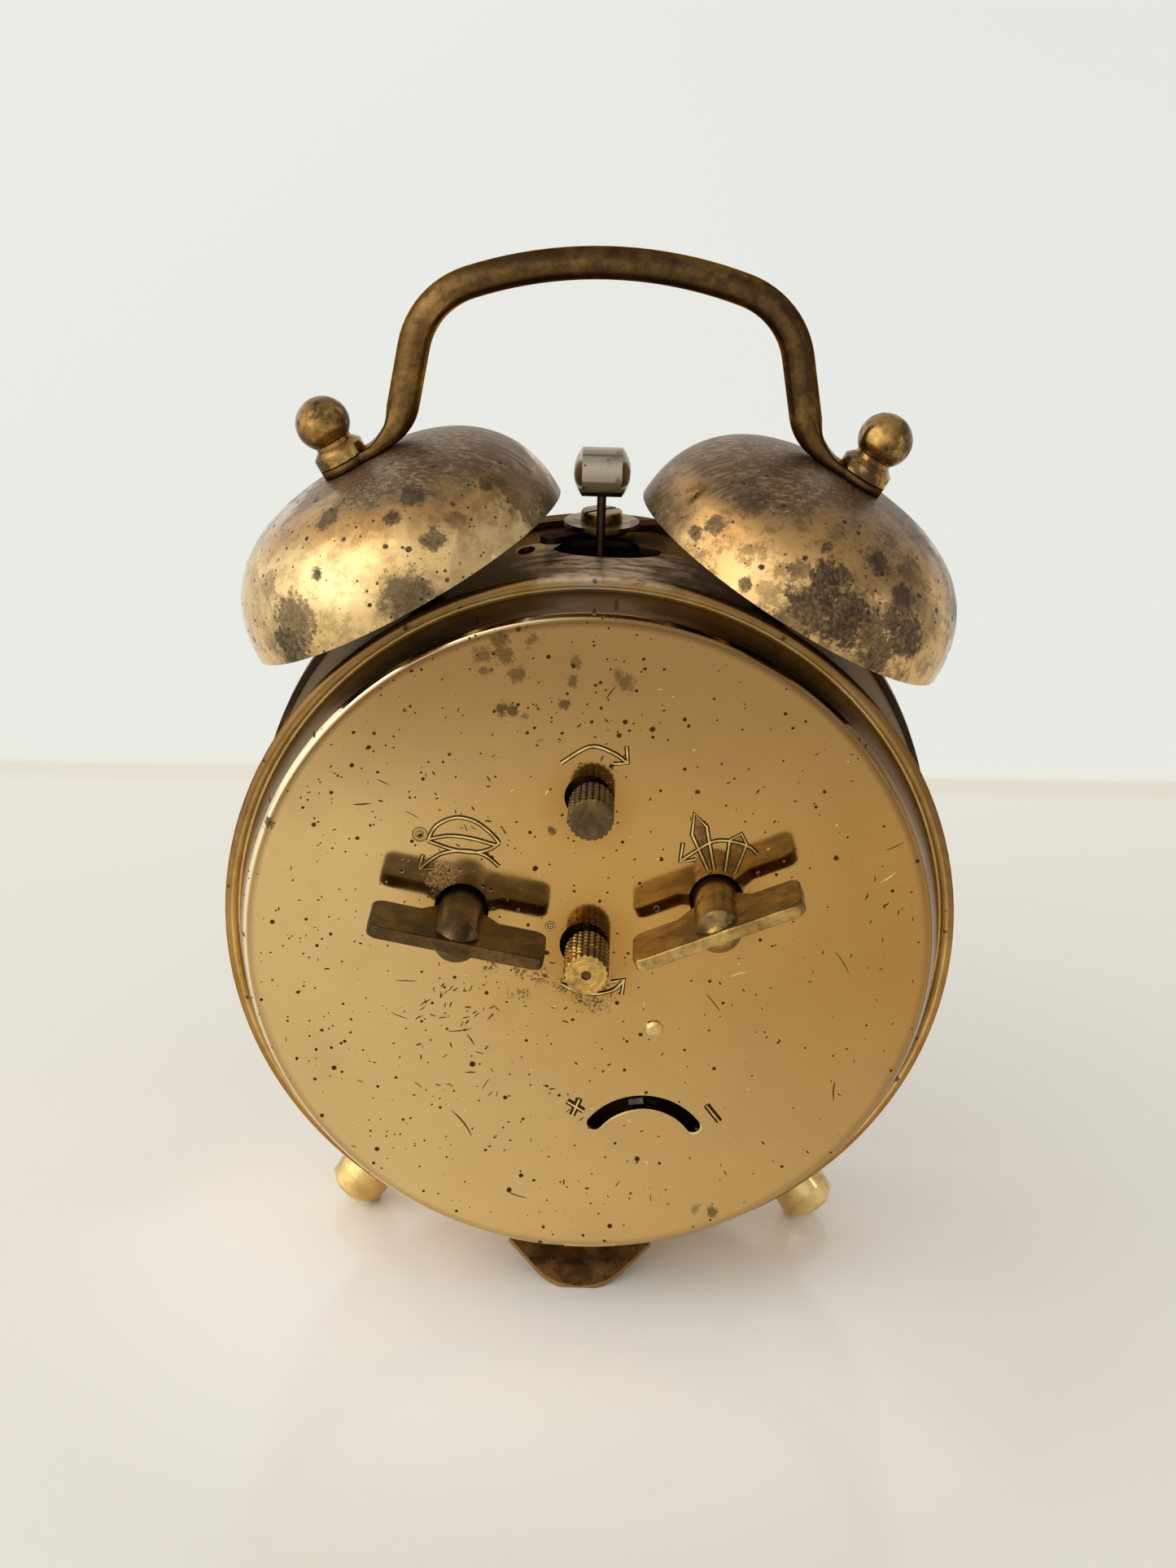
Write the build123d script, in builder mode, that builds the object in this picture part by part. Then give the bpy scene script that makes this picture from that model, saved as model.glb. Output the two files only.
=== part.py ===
from build123d import *
import math
import os

# Twin bell alarm clock. Millimetres, +Z up, dial towards -Y, winding keys towards +Y.
# Left and right are as seen from the dial. The origin is on the surface that the clock
# stands on, under the middle of its overall box. Depths are measured forwards from the
# outer face of the rear cover, and places across the clock from the dial centre.

half_turn = 180.0
quarter_turn = 90.0

# Common fits
running_gap = 0.05       # radial clearance of a shaft in its hole
free_gap = 0.3           # air between pieces that pass each other
cut_over = 2.0           # overrun of every cut
screw_hole_gap = 0.1     # radial clearance of a fastener in its hole
press_gap = 0.02         # radial clearance of a pressed or riveted piece

# Case drum
case_radius = 43.9
case_clearance = 6.1     # case above the surface
case_wall = 0.8
case_front_depth = 37.2
rear_ring_stand = 1.1    # bead beyond the drum
rear_bead_radius = 0.8
rear_bead_depth = 6.9

# Bezel, crystal, dial ring and dial
bezel_stand = 0.8        # bezel beyond the drum
bezel_rear_depth = 34.2
bezel_round_depth = 37.4
bezel_front_depth = 40.5
bezel_round_width = 2.4
bezel_round_share = 0.62
bezel_round_bulge = 0.4
bezel_face_width = 2.5
bezel_lip = 0.8
bezel_seat_gap = 0.1
crystal_gap = 0.1
crystal_thickness = 1.2
crystal_rise = 0.75
dial_ring_wall = 0.6
dial_ring_width = 1.2
dial_depth = 31.5
dial_thickness = 0.5
dial_hole_radius = 2.5
dial_foot_radius = 1.0
dial_foot_inset = 4.0    # dial foot inside the edge of the movement plate
dial_foot_angles = (30.0, 150.0, 270.0)

# Rear cover
cover_sheet = 0.6
cover_flat_inset = 1.9   # flat, edge and shoulder of the cover inside the drum's bore
cover_edge_depth = 0.4
cover_edge_inset = 1.5
cover_shoulder_inset = 0.8
cover_shoulder_depth = 2.0
cover_fit_gap = 0.04
cover_flange_end_depth = 9.0
cover_rivet_side = 8.4
cover_rivet_drop = 10.4
cover_rivet_radius = 1.15
cover_rivet_rise = 0.55
rivet_crown_share = 0.5
rivet_side_share = 0.87
cover_rivet_shank_radius = 0.6
cover_rivet_tail_radius = 0.9
cover_rivet_tail = 0.4
notch_width = 6.6
notch_side = 1.4
notch_height = 0.9
notch_dent = 0.35
regulator_slot_width = 1.85
regulator_slot_half_angle = 53.6

# Bells, their posts, finials and the carrying handle
bell_depth = 19.8        # also the plane of the hammer and the handle
bell_angle = 29.8        # bell axis away from upright
bell_gap = 3.2           # drum to the rim plane, along the bell axis
bell_radius = 21.2
bell_height = 14.8
bell_wall = 0.8
bell_crown_flat = 3.4
bell_side_share = 0.66
bell_crown_share = 0.66
post_radius = 2.6
post_thread_radius = 1.4
post_rivet_radius = 2.2
post_rivet_height = 0.8
post_thread_reach = 1.8  # screw length inside the finial
finial_hole_depth = 2.2
handle_radius = 1.95
handle_tab_thickness = 1.3
handle_tab_radius = 3.15
handle_tab_neck = 3.6    # flat length between the hole and the forged slope
handle_tab_slope = 2.6
handle_rise = 25.48      # bow above the level of the bell crowns
handle_top_radius = 50.0
handle_top_angle = 19.0  # turn of the top bow, each side
handle_shoulder_radius = 10.0
handle_leg_angle = 80.0  # legs away from level
handle_foot_radius = 4.6
collar_radius = 3.15
collar_length = 1.95
collar_bevel = 0.65
finial_neck_radius = 2.3
finial_ball_radius = 3.3
finial_neck = 2.95       # collar to the middle of the ball

# Feet
foot_angle = 33.0        # front feet away from straight down
foot_depth = 25.5
foot_face_radius = 3.75
foot_base_radius = 2.7
foot_bevel = 0.9
foot_band = 2.2
foot_thread_radius = 1.5
foot_thread_length = 3.0
foot_hole_gap = 0.1
tongue_sheet = 0.6
tongue_root_depth = 18.5
tongue_bend_depth = 14.5
tongue_tip_depth = 4.2
tongue_half_width = 9.3
tongue_tip_half_width = 3.4
tongue_tip_round = 7.5
tongue_taper_share = 0.56
tongue_rivet_radius = 1.3
tongue_rivet_head = 0.6
tongue_shank_radius = 0.7
tongue_rivet_spacing = 9.0

# Hammer and the alarm stop lever on top of the case
hammer_pivot_gap = 6.4   # above the alarm setting arbor
hammer_case_gap = 7.3    # head above the drum
hammer_radius = 3.0
hammer_body_length = 4.8
hammer_dome = 1.05
hammer_rod_radius = 0.55
hammer_arbor_radius = 0.7
hammer_hub_radius = 1.7
hammer_hub_length = 3.0
verge_gap = 1.4
verge_pad_angle = 35.0
verge_arm_width = 1.2
verge_depth = 15.7
verge_thickness = 1.1
opening_near_depth = 18.5    # curved near edge of the opening in the top of the drum
opening_far_depth = 26.8
opening_sides = (-4.8, 4.4)
opening_corner = 1.8
slot_ends = (-7.5, 5.9)  # tips of the slot that widens the opening
slot_near_depth = 23.2
slot_far_depth = 24.8
slot_middle_side = -0.6
slot_corner = 0.7
peep_hole_side = 9.2
peep_hole_depth = 24.4
peep_hole_half_width = 1.1
peep_hole_half_depth = 1.8
lever_pivot_depth = 29.4
lever_thickness = 0.8
lever_width = 2.6
lever_eye_radius = 3.2
lever_finger_angle = 44.5
lever_finger_length = 10.0
lever_tab_angle = 200.0
lever_tab_length = 9.5
lever_seat = 0.45        # boss that lifts the lever off the curved case
lever_washer_radius = 4.75
lever_washer_thickness = 0.6
lever_screw_radius = 2.6
lever_screw_height = 1.4
lever_screw_thread = 1.3
lever_screw_slot = 0.6
lever_screw_edge = 0.3
lever_slot_turn = 40.0
lever_boss_radius = 2.0

# Keys and knobs
key_spacing = 30.6
time_key_height = 7.0
alarm_key_height = 4.7
time_key_tilt = -23.0
alarm_key_tilt = 10.4
key_hole_radius = 3.3
key_hub_radius = 2.7
key_hub_inner_depth = 4.0
key_hub_rise = 11.4      # hub end behind the cover
key_hub_bevel = 1.7
key_wing_span = 21.0
key_wing_rise = 11.8
key_wing_inner_rise = 3.8
key_wing_waist = 1.8     # extra depth of the wing at the hub
key_wing_thickness = 1.6
key_wing_edge = 0.25
key_wing_corner = 1.5
key_socket_length = 5.6
knob_radius = 2.72
knob_gap = 0.35          # air between a knob and the cover
knob_edge = 0.35
knob_socket_length = 4.2
time_knob_rise = 7.8
alarm_knob_rise = 6.3
time_knob_hole_radius = 2.95
alarm_knob_hole_radius = 2.8
knob_hole_shift = (0.45, 0.45)   # the cover sits a little off the movement
alarm_knob_height = 19.1

# Movement frame
rear_plate_depth = 9.0
front_plate_depth = 25.0
plate_thickness = 1.0
plate_radius = 34.0
pillar_inset = 3.0
pillar_angles = (65.0, 115.0, 205.0, 335.0)
pillar_radius = 2.0
pillar_thread_radius = 1.2
pillar_nut_radius = 2.2
pillar_nut_height = 1.4
nut_sides = 6
bracket_angles = (0.0, 180.0, 270.0)
bracket_width = 8.0
bracket_sheet = 1.0
bracket_length = 6.0
bracket_lap = 4.0        # bracket on the plate

# Arbors
arbor_radius = 0.5
pivot_end_gap = 0.2      # arbor end short of the outer face of its plate
centre_arbor_radius = 1.0
winding_arbor_radius = 1.5
winding_arbor_end_gap = 0.1
alarm_arbor_radius = 1.0

# Tooth form: half widths at root, pitch and tip as shares of the tooth pitch
wheel_tooth_shares = (0.27, 0.20, 0.07)
pinion_tooth_shares = (0.22, 0.16, 0.07)
wheel_addendum_share = 1.0
wheel_dedendum_share = 1.2
pinion_addendum_share = 0.7
pinion_dedendum_share = 1.3

# Going train
great_wheel_teeth = 66
centre_pinion_leaves = 10
centre_wheel_teeth = 64
third_pinion_leaves = 8
third_wheel_teeth = 60
fourth_pinion_leaves = 8
fourth_wheel_teeth = 64
escape_pinion_leaves = 8
third_distance = 10.8
fourth_distance = 8.5
escape_distance = 7.92
third_direction = -60.0
fourth_direction = -150.0
escape_direction = -45.0
wheel_thickness = 0.7
leaf_overhang = 0.3      # pinion longer than its wheel, each side
great_wheel_depth = 11.2
great_wheel_thickness = 1.2
centre_wheel_depth = 22.8
third_wheel_depth = 19.6
fourth_wheel_depth = 16.4
rim_share = 0.80         # inner radius of a wheel rim, as a share of its root radius
hub_radius = 1.6
spoke_count = 4
spoke_width = 1.3
clutch_hub_radius = 1.45

# Escapement
escape_teeth = 15
escape_radius = 4.2
escape_root_share = 0.74
escape_lean_share = 0.45 # lean of a tooth tip, as a share of the tooth pitch
escape_depth = 13.4
escape_thickness = 0.6
pallet_share = 0.44      # place of the pallet arbor between escape arbor and balance
pallet_pin_angle = 32.0
pallet_pin_gap = 0.35
pallet_pin_radius = 0.25
pallet_arm_width = 0.9
pallet_depth = 12.2
pallet_thickness = 0.7
balance_side = 7.6
balance_drop = 28.2
balance_radius = 7.0
balance_rim_width = 1.1
balance_depth = 18.0
balance_thickness = 1.2
balance_hub_radius = 1.5
roller_radius = 2.1
bearing_radius = 1.7
bearing_rear_depth = 7.4
bearing_front_depth = 27.4
bearing_cup = 0.8        # depth of the cup that holds a staff end
bearing_nose = 0.6       # bearing beyond the inner face of its plate
hairspring_depth = 15.1
hairspring_height = 0.5
hairspring_inner_radius = 1.3
hairspring_outer_radius = 4.5
hairspring_strip = 0.15
hairspring_turns = 5
collet_radius = 1.1
regulator_depth = 7.9
regulator_thickness = 0.6
regulator_slot_radius = 7.65
regulator_rest_angle = 8.0
regulator_ring_width = 1.1
regulator_arm_width = 1.8
regulator_tab_thickness = 0.8
regulator_tab_recess = 0.25

# Mainsprings, ratchets and clicks
mainspring_strip = 0.35
mainspring_turns = 6
mainspring_inner_radius = 2.3
time_spring_outer_radius = 11.0
time_spring_depth = 13.4
time_spring_height = 8.6
alarm_spring_outer_radius = 8.3
alarm_spring_height = 5.2
ratchet_teeth = 14
ratchet_radius = 4.5
ratchet_root_share = 0.82
ratchet_lean_share = 0.9
ratchet_depth = 7.0
ratchet_thickness = 1.2
click_distance = 7.4
time_click_direction = 118.0   # click pivot seen from its winding arbor
alarm_click_direction = 62.0
click_boss_radius = 1.2
click_pin_radius = 0.6
click_width = 1.2
click_gap = 0.2
click_lead = -36.0       # click tip ahead of its pivot, round the winding arbor
click_pin_reach = 0.1    # stud beyond its click

# Motion work and alarm setting
cannon_leaves = 12
minute_wheel_teeth = 36
minute_pinion_leaves = 10
hour_wheel_teeth = 40
minute_wheel_distance = 7.2
minute_wheel_direction = 180.0
cannon_depth = 26.3
cannon_length = 1.6
minute_wheel_depth = 26.7
minute_pinion_end_depth = 29.0
hour_wheel_depth = 28.0
hour_pipe_radius = 1.6
alarm_wheel_teeth = 48
alarm_pinion_leaves = 24
alarm_wheel_depth = 29.6
alarm_wheel_thickness = 0.8
alarm_pipe_radius = 2.2
hand_thickness = 0.35
alarm_hand_depth = 32.6
hour_hand_depth = 33.5
minute_hand_depth = 34.4
hand_boss_radius = 2.7
hour_hand_length = 21.0
minute_hand_length = 31.0
alarm_hand_length = 17.0
hour_hand_angle = 305.0   # clockwise from twelve, seen from the dial
minute_hand_angle = 54.0
alarm_hand_angle = 210.0
hour_hand_width = 3.6
minute_hand_width = 2.8
alarm_hand_width = 1.6
hand_neck_width = 0.9
hand_tip_width = 0.3
hand_swell_share = 0.62
counter_tail_share = 0.18

# Alarm train
alarm_great_teeth = 60
alarm_escape_leaves = 8
alarm_escape_distance = 13.6
alarm_escape_direction = 110.0
alarm_escape_teeth = 18
alarm_escape_radius = 4.8
alarm_escape_depth = 15.8
alarm_escape_thickness = 0.9

# Places worked out from the sizes above
rear_reach = key_wing_rise
rear_y = (bezel_front_depth - rear_reach) / 2
axis_height = case_radius + case_clearance
case_inner_radius = case_radius - case_wall
rear_ring_radius = case_radius + rear_ring_stand
bezel_radius = case_radius + bezel_stand
bezel_front_radius = bezel_radius - bezel_round_width
bezel_opening_radius = bezel_front_radius - bezel_face_width
bezel_seat_radius = case_inner_radius - bezel_seat_gap
dial_ring_sight_radius = bezel_opening_radius - dial_ring_width
dial_foot_place_radius = plate_radius - dial_foot_inset
cover_flat_radius = case_inner_radius - cover_flat_inset
cover_edge_radius = case_inner_radius - cover_edge_inset
cover_shoulder_radius = case_inner_radius - cover_shoulder_inset
bell_rim_distance = case_radius + bell_gap
pillar_place_radius = plate_radius - pillar_inset
bracket_inner_radius = plate_radius - bracket_lap
cover_flange_radius = case_inner_radius - cover_fit_gap
plate_gap_start = rear_plate_depth + plate_thickness
front_plate_front = front_plate_depth + plate_thickness
bell_crown_distance = bell_rim_distance + bell_height
centre_place = (0, 0)
time_key_place = (-key_spacing / 2, time_key_height)
alarm_key_place = (key_spacing / 2, alarm_key_height)
cover_rivet_place = (-cover_rivet_side, -cover_rivet_drop)
notch_place = (-notch_side, -cover_flat_radius)
peep_hole_place = (peep_hole_side, peep_hole_depth)
balance_place = (-balance_side, -balance_drop)
alarm_knob_place = (0, alarm_knob_height)
alarm_knob_hole_place = (knob_hole_shift[0], alarm_knob_height + knob_hole_shift[1])
hammer_pivot_height = alarm_knob_height + hammer_pivot_gap
hammer_centre_height = case_radius + hammer_case_gap + hammer_radius
hammer_place = (0, hammer_pivot_height)
centre_module = 2 * third_distance / (centre_wheel_teeth + third_pinion_leaves)
third_module = 2 * fourth_distance / (third_wheel_teeth + fourth_pinion_leaves)
fourth_module = 2 * escape_distance / (fourth_wheel_teeth + escape_pinion_leaves)
alarm_module = 2 * alarm_escape_distance / (alarm_great_teeth + alarm_escape_leaves)


def polar(place, distance, angle):
    """A place at a distance and an angle (from sideways right, anticlockwise) from another."""
    turn = math.radians(angle)
    return (place[0] + distance * math.cos(turn), place[1] + distance * math.sin(turn))


def bearing_of(start, end):
    """The angle of one place seen from another, in degrees."""
    return math.degrees(math.atan2(end[1] - start[1], end[0] - start[0]))


def gap_between(start, end):
    """The distance between two places."""
    return math.hypot(end[0] - start[0], end[1] - start[1])


def across(depth, place=(0, 0), turn=0.0):
    """The plane parallel to the dial at a depth; extrusions from it run forwards."""
    origin = (place[0], rear_y - depth, axis_height + place[1])
    heading = math.radians(turn)
    return Plane(origin=origin, x_dir=(math.cos(heading), 0, math.sin(heading)), z_dir=(0, -1, 0))


def lengthwise(place=(0, 0)):
    """The plane through a fore-and-aft axis: x is the depth, y the height above the axis."""
    origin = (place[0], rear_y, axis_height + place[1])
    return Plane(origin=origin, x_dir=(0, -1, 0), z_dir=(-1, 0, 0))


def radial(angle, depth):
    """The plane through the dial centre whose x runs outwards, at an angle from upright."""
    heading = math.radians(angle)
    origin = (0, rear_y - depth, axis_height)
    return Plane(origin=origin, x_dir=(math.sin(heading), 0, math.cos(heading)), z_dir=(0, -1, 0))


def outward(angle, depth, distance):
    """The plane square to an outward direction, at a distance from the dial centre."""
    heading = math.radians(angle)
    way = Vector(math.sin(heading), 0, math.cos(heading))
    origin = Vector(0, rear_y - depth, axis_height) + way * distance
    return Plane(origin=origin, x_dir=(0, -1, 0), z_dir=way)


third_place = polar(centre_place, third_distance, third_direction)
fourth_place = polar(third_place, fourth_distance, fourth_direction)
escape_place = polar(fourth_place, escape_distance, escape_direction)
pallet_line = bearing_of(escape_place, balance_place)
escape_to_balance = gap_between(escape_place, balance_place)
pallet_place = polar(escape_place, escape_to_balance * pallet_share, pallet_line)
alarm_escape_place = polar(alarm_key_place, alarm_escape_distance, alarm_escape_direction)
minute_wheel_place = polar(centre_place, minute_wheel_distance, minute_wheel_direction)
great_module = (2 * gap_between(time_key_place, centre_place)
                / (great_wheel_teeth + centre_pinion_leaves))
cannon_module = 2 * minute_wheel_distance / (cannon_leaves + minute_wheel_teeth)
hour_module = 2 * minute_wheel_distance / (minute_pinion_leaves + hour_wheel_teeth)
setting_module = 2 * alarm_knob_height / (alarm_wheel_teeth + alarm_pinion_leaves)
wheel_form = (wheel_tooth_shares, wheel_addendum_share, wheel_dedendum_share)
pinion_form = (pinion_tooth_shares, pinion_addendum_share, pinion_dedendum_share)


def toothed(teeth, module, form, depth, thickness, place, tooth_angle):
    """A toothed blank with one tooth pointing at tooth_angle."""
    shares, addendum, dedendum = form
    pitch_radius = module * teeth / 2
    radii = (pitch_radius - dedendum * module, pitch_radius, pitch_radius + addendum * module)
    flanks = list(zip(radii, shares))
    pitch = 2 * math.pi / teeth
    points = []
    for tooth in range(teeth):
        middle = math.radians(tooth_angle) + tooth * pitch
        for radius, share in flanks:
            turn = middle - share * pitch
            points.append((radius * math.cos(turn), radius * math.sin(turn)))
        for radius, share in reversed(flanks):
            turn = middle + share * pitch
            points.append((radius * math.cos(turn), radius * math.sin(turn)))
    with BuildPart() as blank:
        with BuildSketch(across(depth, place)):
            with BuildLine():
                Polyline(*points, close=True)
            make_face()
        extrude(amount=thickness)
    return blank.part


def pointed(teeth, tip_radius, root_share, lean_share, depth, thickness, place):
    """A wheel with leaning pointed teeth, such as an escape wheel or a ratchet."""
    pitch = 2 * math.pi / teeth
    points = []
    for tooth in range(teeth):
        root_turn = tooth * pitch
        tip_turn = root_turn + lean_share * pitch
        root_radius = tip_radius * root_share
        points.append((root_radius * math.cos(root_turn), root_radius * math.sin(root_turn)))
        points.append((tip_radius * math.cos(tip_turn), tip_radius * math.sin(tip_turn)))
    with BuildPart() as blank:
        with BuildSketch(across(depth, place)):
            with BuildLine():
                Polyline(*points, close=True)
            make_face()
        extrude(amount=thickness)
    return blank.part


def round_bar(radius, start_depth, end_depth, place=(0, 0), bore=0.0):
    """A fore-and-aft round bar or tube between two depths."""
    with BuildPart() as bar:
        with BuildSketch(across(start_depth, place)):
            Circle(radius)
            if bore > 0:
                Circle(bore, mode=Mode.SUBTRACT)
        extrude(amount=end_depth - start_depth)
    return bar.part


def turned(points, place=(0, 0)):
    """A piece turned about a fore-and-aft axis from (depth, radius) points."""
    with BuildPart() as piece:
        with BuildSketch(lengthwise(place)):
            with BuildLine():
                Polyline(*points, close=True)
            make_face()
        revolve(axis=Axis((place[0], rear_y, axis_height + place[1]), (0, -1, 0)))
    return piece.part


def windows(outer_radius, inner_radius, depth, thickness, place, turn=0.0):
    """The openings between a wheel's rim, spokes and hub, as one cutting piece."""
    with BuildPart() as cutter:
        with BuildSketch(across(depth - cut_over, place, turn)):
            Circle(outer_radius)
            Circle(inner_radius, mode=Mode.SUBTRACT)
            for spoke in range(spoke_count // 2):
                Rectangle(2 * outer_radius + cut_over, spoke_width,
                          rotation=spoke * 2 * half_turn / spoke_count, mode=Mode.SUBTRACT)
        extrude(amount=thickness + 2 * cut_over)
    return cutter.part


def link(start, end, width, depth, thickness):
    """A flat bar with round ends from one place across the clock to another."""
    length = gap_between(start, end)
    with BuildPart() as bar:
        with BuildSketch(across(depth, start, bearing_of(start, end))):
            with Locations((length / 2, 0)):
                SlotCenterToCenter(length, width)
        extrude(amount=thickness)
    return bar.part


def spiral_strip(inner_radius, outer_radius, turns, strip, depth, height, place):
    """A flat spiral of strip, wound in half turns, each an arc about one of two centres."""
    step = (outer_radius - inner_radius - strip) / (2 * turns)
    with BuildPart() as spring:
        with BuildSketch(across(depth, place)):
            for half in range(2 * turns):
                radius = inner_radius + strip / 2 + (half + 1 / 2) * step
                shift = step / 2 if half % 2 == 0 else -step / 2
                start = 0 if half % 2 == 0 else half_turn
                with BuildLine():
                    edge_out = CenterArc((-shift, 0), radius + strip / 2, start, half_turn)
                    edge_in = CenterArc((-shift, 0), radius - strip / 2, start, half_turn)
                    Line(edge_out @ 0, edge_in @ 0)
                    Line(edge_out @ 1, edge_in @ 1)
                make_face()
        extrude(amount=height)
    return spring.part


os.makedirs("parts", exist_ok=True)
fore_axis = Axis((0, rear_y, axis_height), (0, -1, 0))
case_top = axis_height + case_radius
cut_down = case_wall + 2 * cut_over

# Case drum with its rolled rear bead, the openings in its top and its fastener holes
bell_angles = (-bell_angle, bell_angle)
foot_angles = (half_turn + foot_angle, half_turn - foot_angle)
post_hole_radius = post_thread_radius + screw_hole_gap
foot_hole_radius = foot_thread_radius + foot_hole_gap
tongue_rivet_places = [(side * tongue_rivet_spacing / 2,
                        rear_y - (tongue_root_depth + tongue_bend_depth) / 2) for side in (-1, 1)]
slot_tips = [(side, rear_y - slot_near_depth) for side in slot_ends]
with BuildPart() as case_body:
    with BuildSketch(lengthwise()):
        with BuildLine():
            Polyline((rear_bead_depth, case_inner_radius), (rear_bead_depth, case_radius),
                     (case_front_depth, case_radius), (case_front_depth, case_inner_radius),
                     close=True)
        make_face()
        with Locations((rear_bead_depth, rear_ring_radius - rear_bead_radius)):
            Circle(rear_bead_radius)
    revolve(axis=fore_axis)
    with BuildSketch(Plane.XY.offset(axis_height + case_inner_radius - cut_over)):
        with Locations((0, rear_y - lever_pivot_depth)):
            Circle(lever_boss_radius)
    extrude(amount=cut_over + case_wall + lever_seat)
    with BuildSketch(Plane.XY.offset(axis_height + case_inner_radius)):
        with Locations((0, rear_y - lever_pivot_depth)):
            Circle(lever_boss_radius)
    extrude(amount=-cut_over, mode=Mode.SUBTRACT)
    with BuildSketch(Plane.XY.offset(case_top + cut_over)):
        with BuildLine():
            ThreePointArc(slot_tips[1], (slot_middle_side, rear_y - opening_near_depth),
                          slot_tips[0])
            Polyline(slot_tips[0], (slot_ends[0], rear_y - slot_far_depth),
                     (opening_sides[0], rear_y - slot_far_depth),
                     (opening_sides[0], rear_y - opening_far_depth),
                     (opening_sides[1], rear_y - opening_far_depth), slot_tips[1])
        make_face()
        fillet(vertices().group_by(Axis.Y)[0], opening_corner)
        fillet(vertices().group_by(Axis.X)[0], slot_corner)
        with Locations((peep_hole_place[0], rear_y - peep_hole_place[1])):
            Ellipse(peep_hole_half_width, peep_hole_half_depth)
        with Locations((0, rear_y - lever_pivot_depth)):
            Circle(lever_screw_thread + screw_hole_gap)
    extrude(amount=-cut_down, mode=Mode.SUBTRACT)
    for angle in bell_angles:
        with BuildSketch(outward(angle, bell_depth, case_inner_radius - cut_over)):
            Circle(post_hole_radius)
        extrude(amount=cut_down, mode=Mode.SUBTRACT)
    for angle in foot_angles:
        with BuildSketch(outward(angle, foot_depth, case_inner_radius - cut_over)):
            Circle(foot_hole_radius)
        extrude(amount=cut_down, mode=Mode.SUBTRACT)
    with BuildSketch(Plane.XY):
        with Locations(*tongue_rivet_places):
            Circle(tongue_shank_radius + screw_hole_gap)
    extrude(amount=axis_height - case_inner_radius + cut_over, mode=Mode.SUBTRACT)
case_body.part.label = "case_body"
export_step(case_body.part, "parts/case_body.step")

# Bezel pressed over the front of the drum; its lip holds the crystal
bezel_fit_radius = case_radius + cover_fit_gap
bezel_lip_depth = bezel_front_depth - bezel_lip
bezel_round_radius = (bezel_radius + bezel_front_radius) / 2
bezel_round_middle = (bezel_round_depth
                      + (bezel_front_depth - bezel_round_depth) * bezel_round_share)
with BuildPart() as bezel:
    with BuildSketch(lengthwise()):
        with BuildLine():
            Polyline((bezel_front_depth, bezel_front_radius),
                     (bezel_front_depth, bezel_opening_radius),
                     (bezel_lip_depth, bezel_opening_radius),
                     (bezel_lip_depth, bezel_seat_radius),
                     (case_front_depth, bezel_seat_radius),
                     (case_front_depth, bezel_fit_radius),
                     (bezel_rear_depth, bezel_fit_radius),
                     (bezel_rear_depth, bezel_radius),
                     (bezel_round_depth, bezel_radius))
            ThreePointArc((bezel_round_depth, bezel_radius),
                          (bezel_round_middle, bezel_round_radius + bezel_round_bulge),
                          (bezel_front_depth, bezel_front_radius))
        make_face()
    revolve(axis=fore_axis)
bezel.part.label = "bezel"
export_step(bezel.part, "parts/bezel.step")

# Domed crystal behind the bezel's lip
crystal_radius = bezel_seat_radius - crystal_gap
crystal_front = bezel_lip_depth
crystal_rear = crystal_front - crystal_thickness
crystal_dome_radius = bezel_opening_radius - crystal_gap
crystal_curve = (crystal_dome_radius ** 2 + crystal_rise ** 2) / (2 * crystal_rise)
with BuildPart() as crystal:
    with BuildSketch(lengthwise()):
        with BuildLine():
            Line((crystal_rear + crystal_rise, 0), (crystal_front + crystal_rise, 0))
            RadiusArc((crystal_front + crystal_rise, 0), (crystal_front, crystal_dome_radius),
                      -crystal_curve)
            Polyline((crystal_front, crystal_dome_radius), (crystal_front, crystal_radius),
                     (crystal_rear, crystal_radius), (crystal_rear, crystal_dome_radius))
            RadiusArc((crystal_rear + crystal_rise, 0), (crystal_rear, crystal_dome_radius),
                      -crystal_curve)
        make_face()
    revolve(axis=fore_axis)
crystal.part.label = "crystal"
export_step(crystal.part, "parts/crystal.step")

# Dial ring, the sloping wall between the crystal and the dial
dial_front = dial_depth + dial_thickness
ring_outer = case_inner_radius - cover_fit_gap
ring_shape = turned([
    (crystal_rear, bezel_opening_radius), (crystal_rear, bezel_seat_radius - crystal_gap),
    (crystal_rear - dial_ring_wall, bezel_seat_radius - crystal_gap),
    (crystal_rear - dial_ring_wall, bezel_opening_radius + dial_ring_wall),
    (dial_front, dial_ring_sight_radius + dial_ring_wall), (dial_front, dial_ring_sight_radius)])
with BuildPart() as dial_ring:
    add(ring_shape)
dial_ring.part.label = "dial_ring"
export_step(dial_ring.part, "parts/dial_ring.step")

# Dial plate on three feet that stand on the front movement plate
dial_foot_places = [polar(centre_place, dial_foot_place_radius, angle)
                    for angle in dial_foot_angles]
with BuildPart() as dial_plate:
    with BuildSketch(across(dial_depth)):
        Circle(ring_outer)
        Circle(dial_hole_radius, mode=Mode.SUBTRACT)
    extrude(amount=dial_thickness)
    with BuildSketch(across(front_plate_front)):
        with Locations(*dial_foot_places):
            Circle(dial_foot_radius)
    extrude(amount=dial_depth - front_plate_front)
dial_plate.part.label = "dial_plate"
export_step(dial_plate.part, "parts/dial_plate.step")

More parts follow.
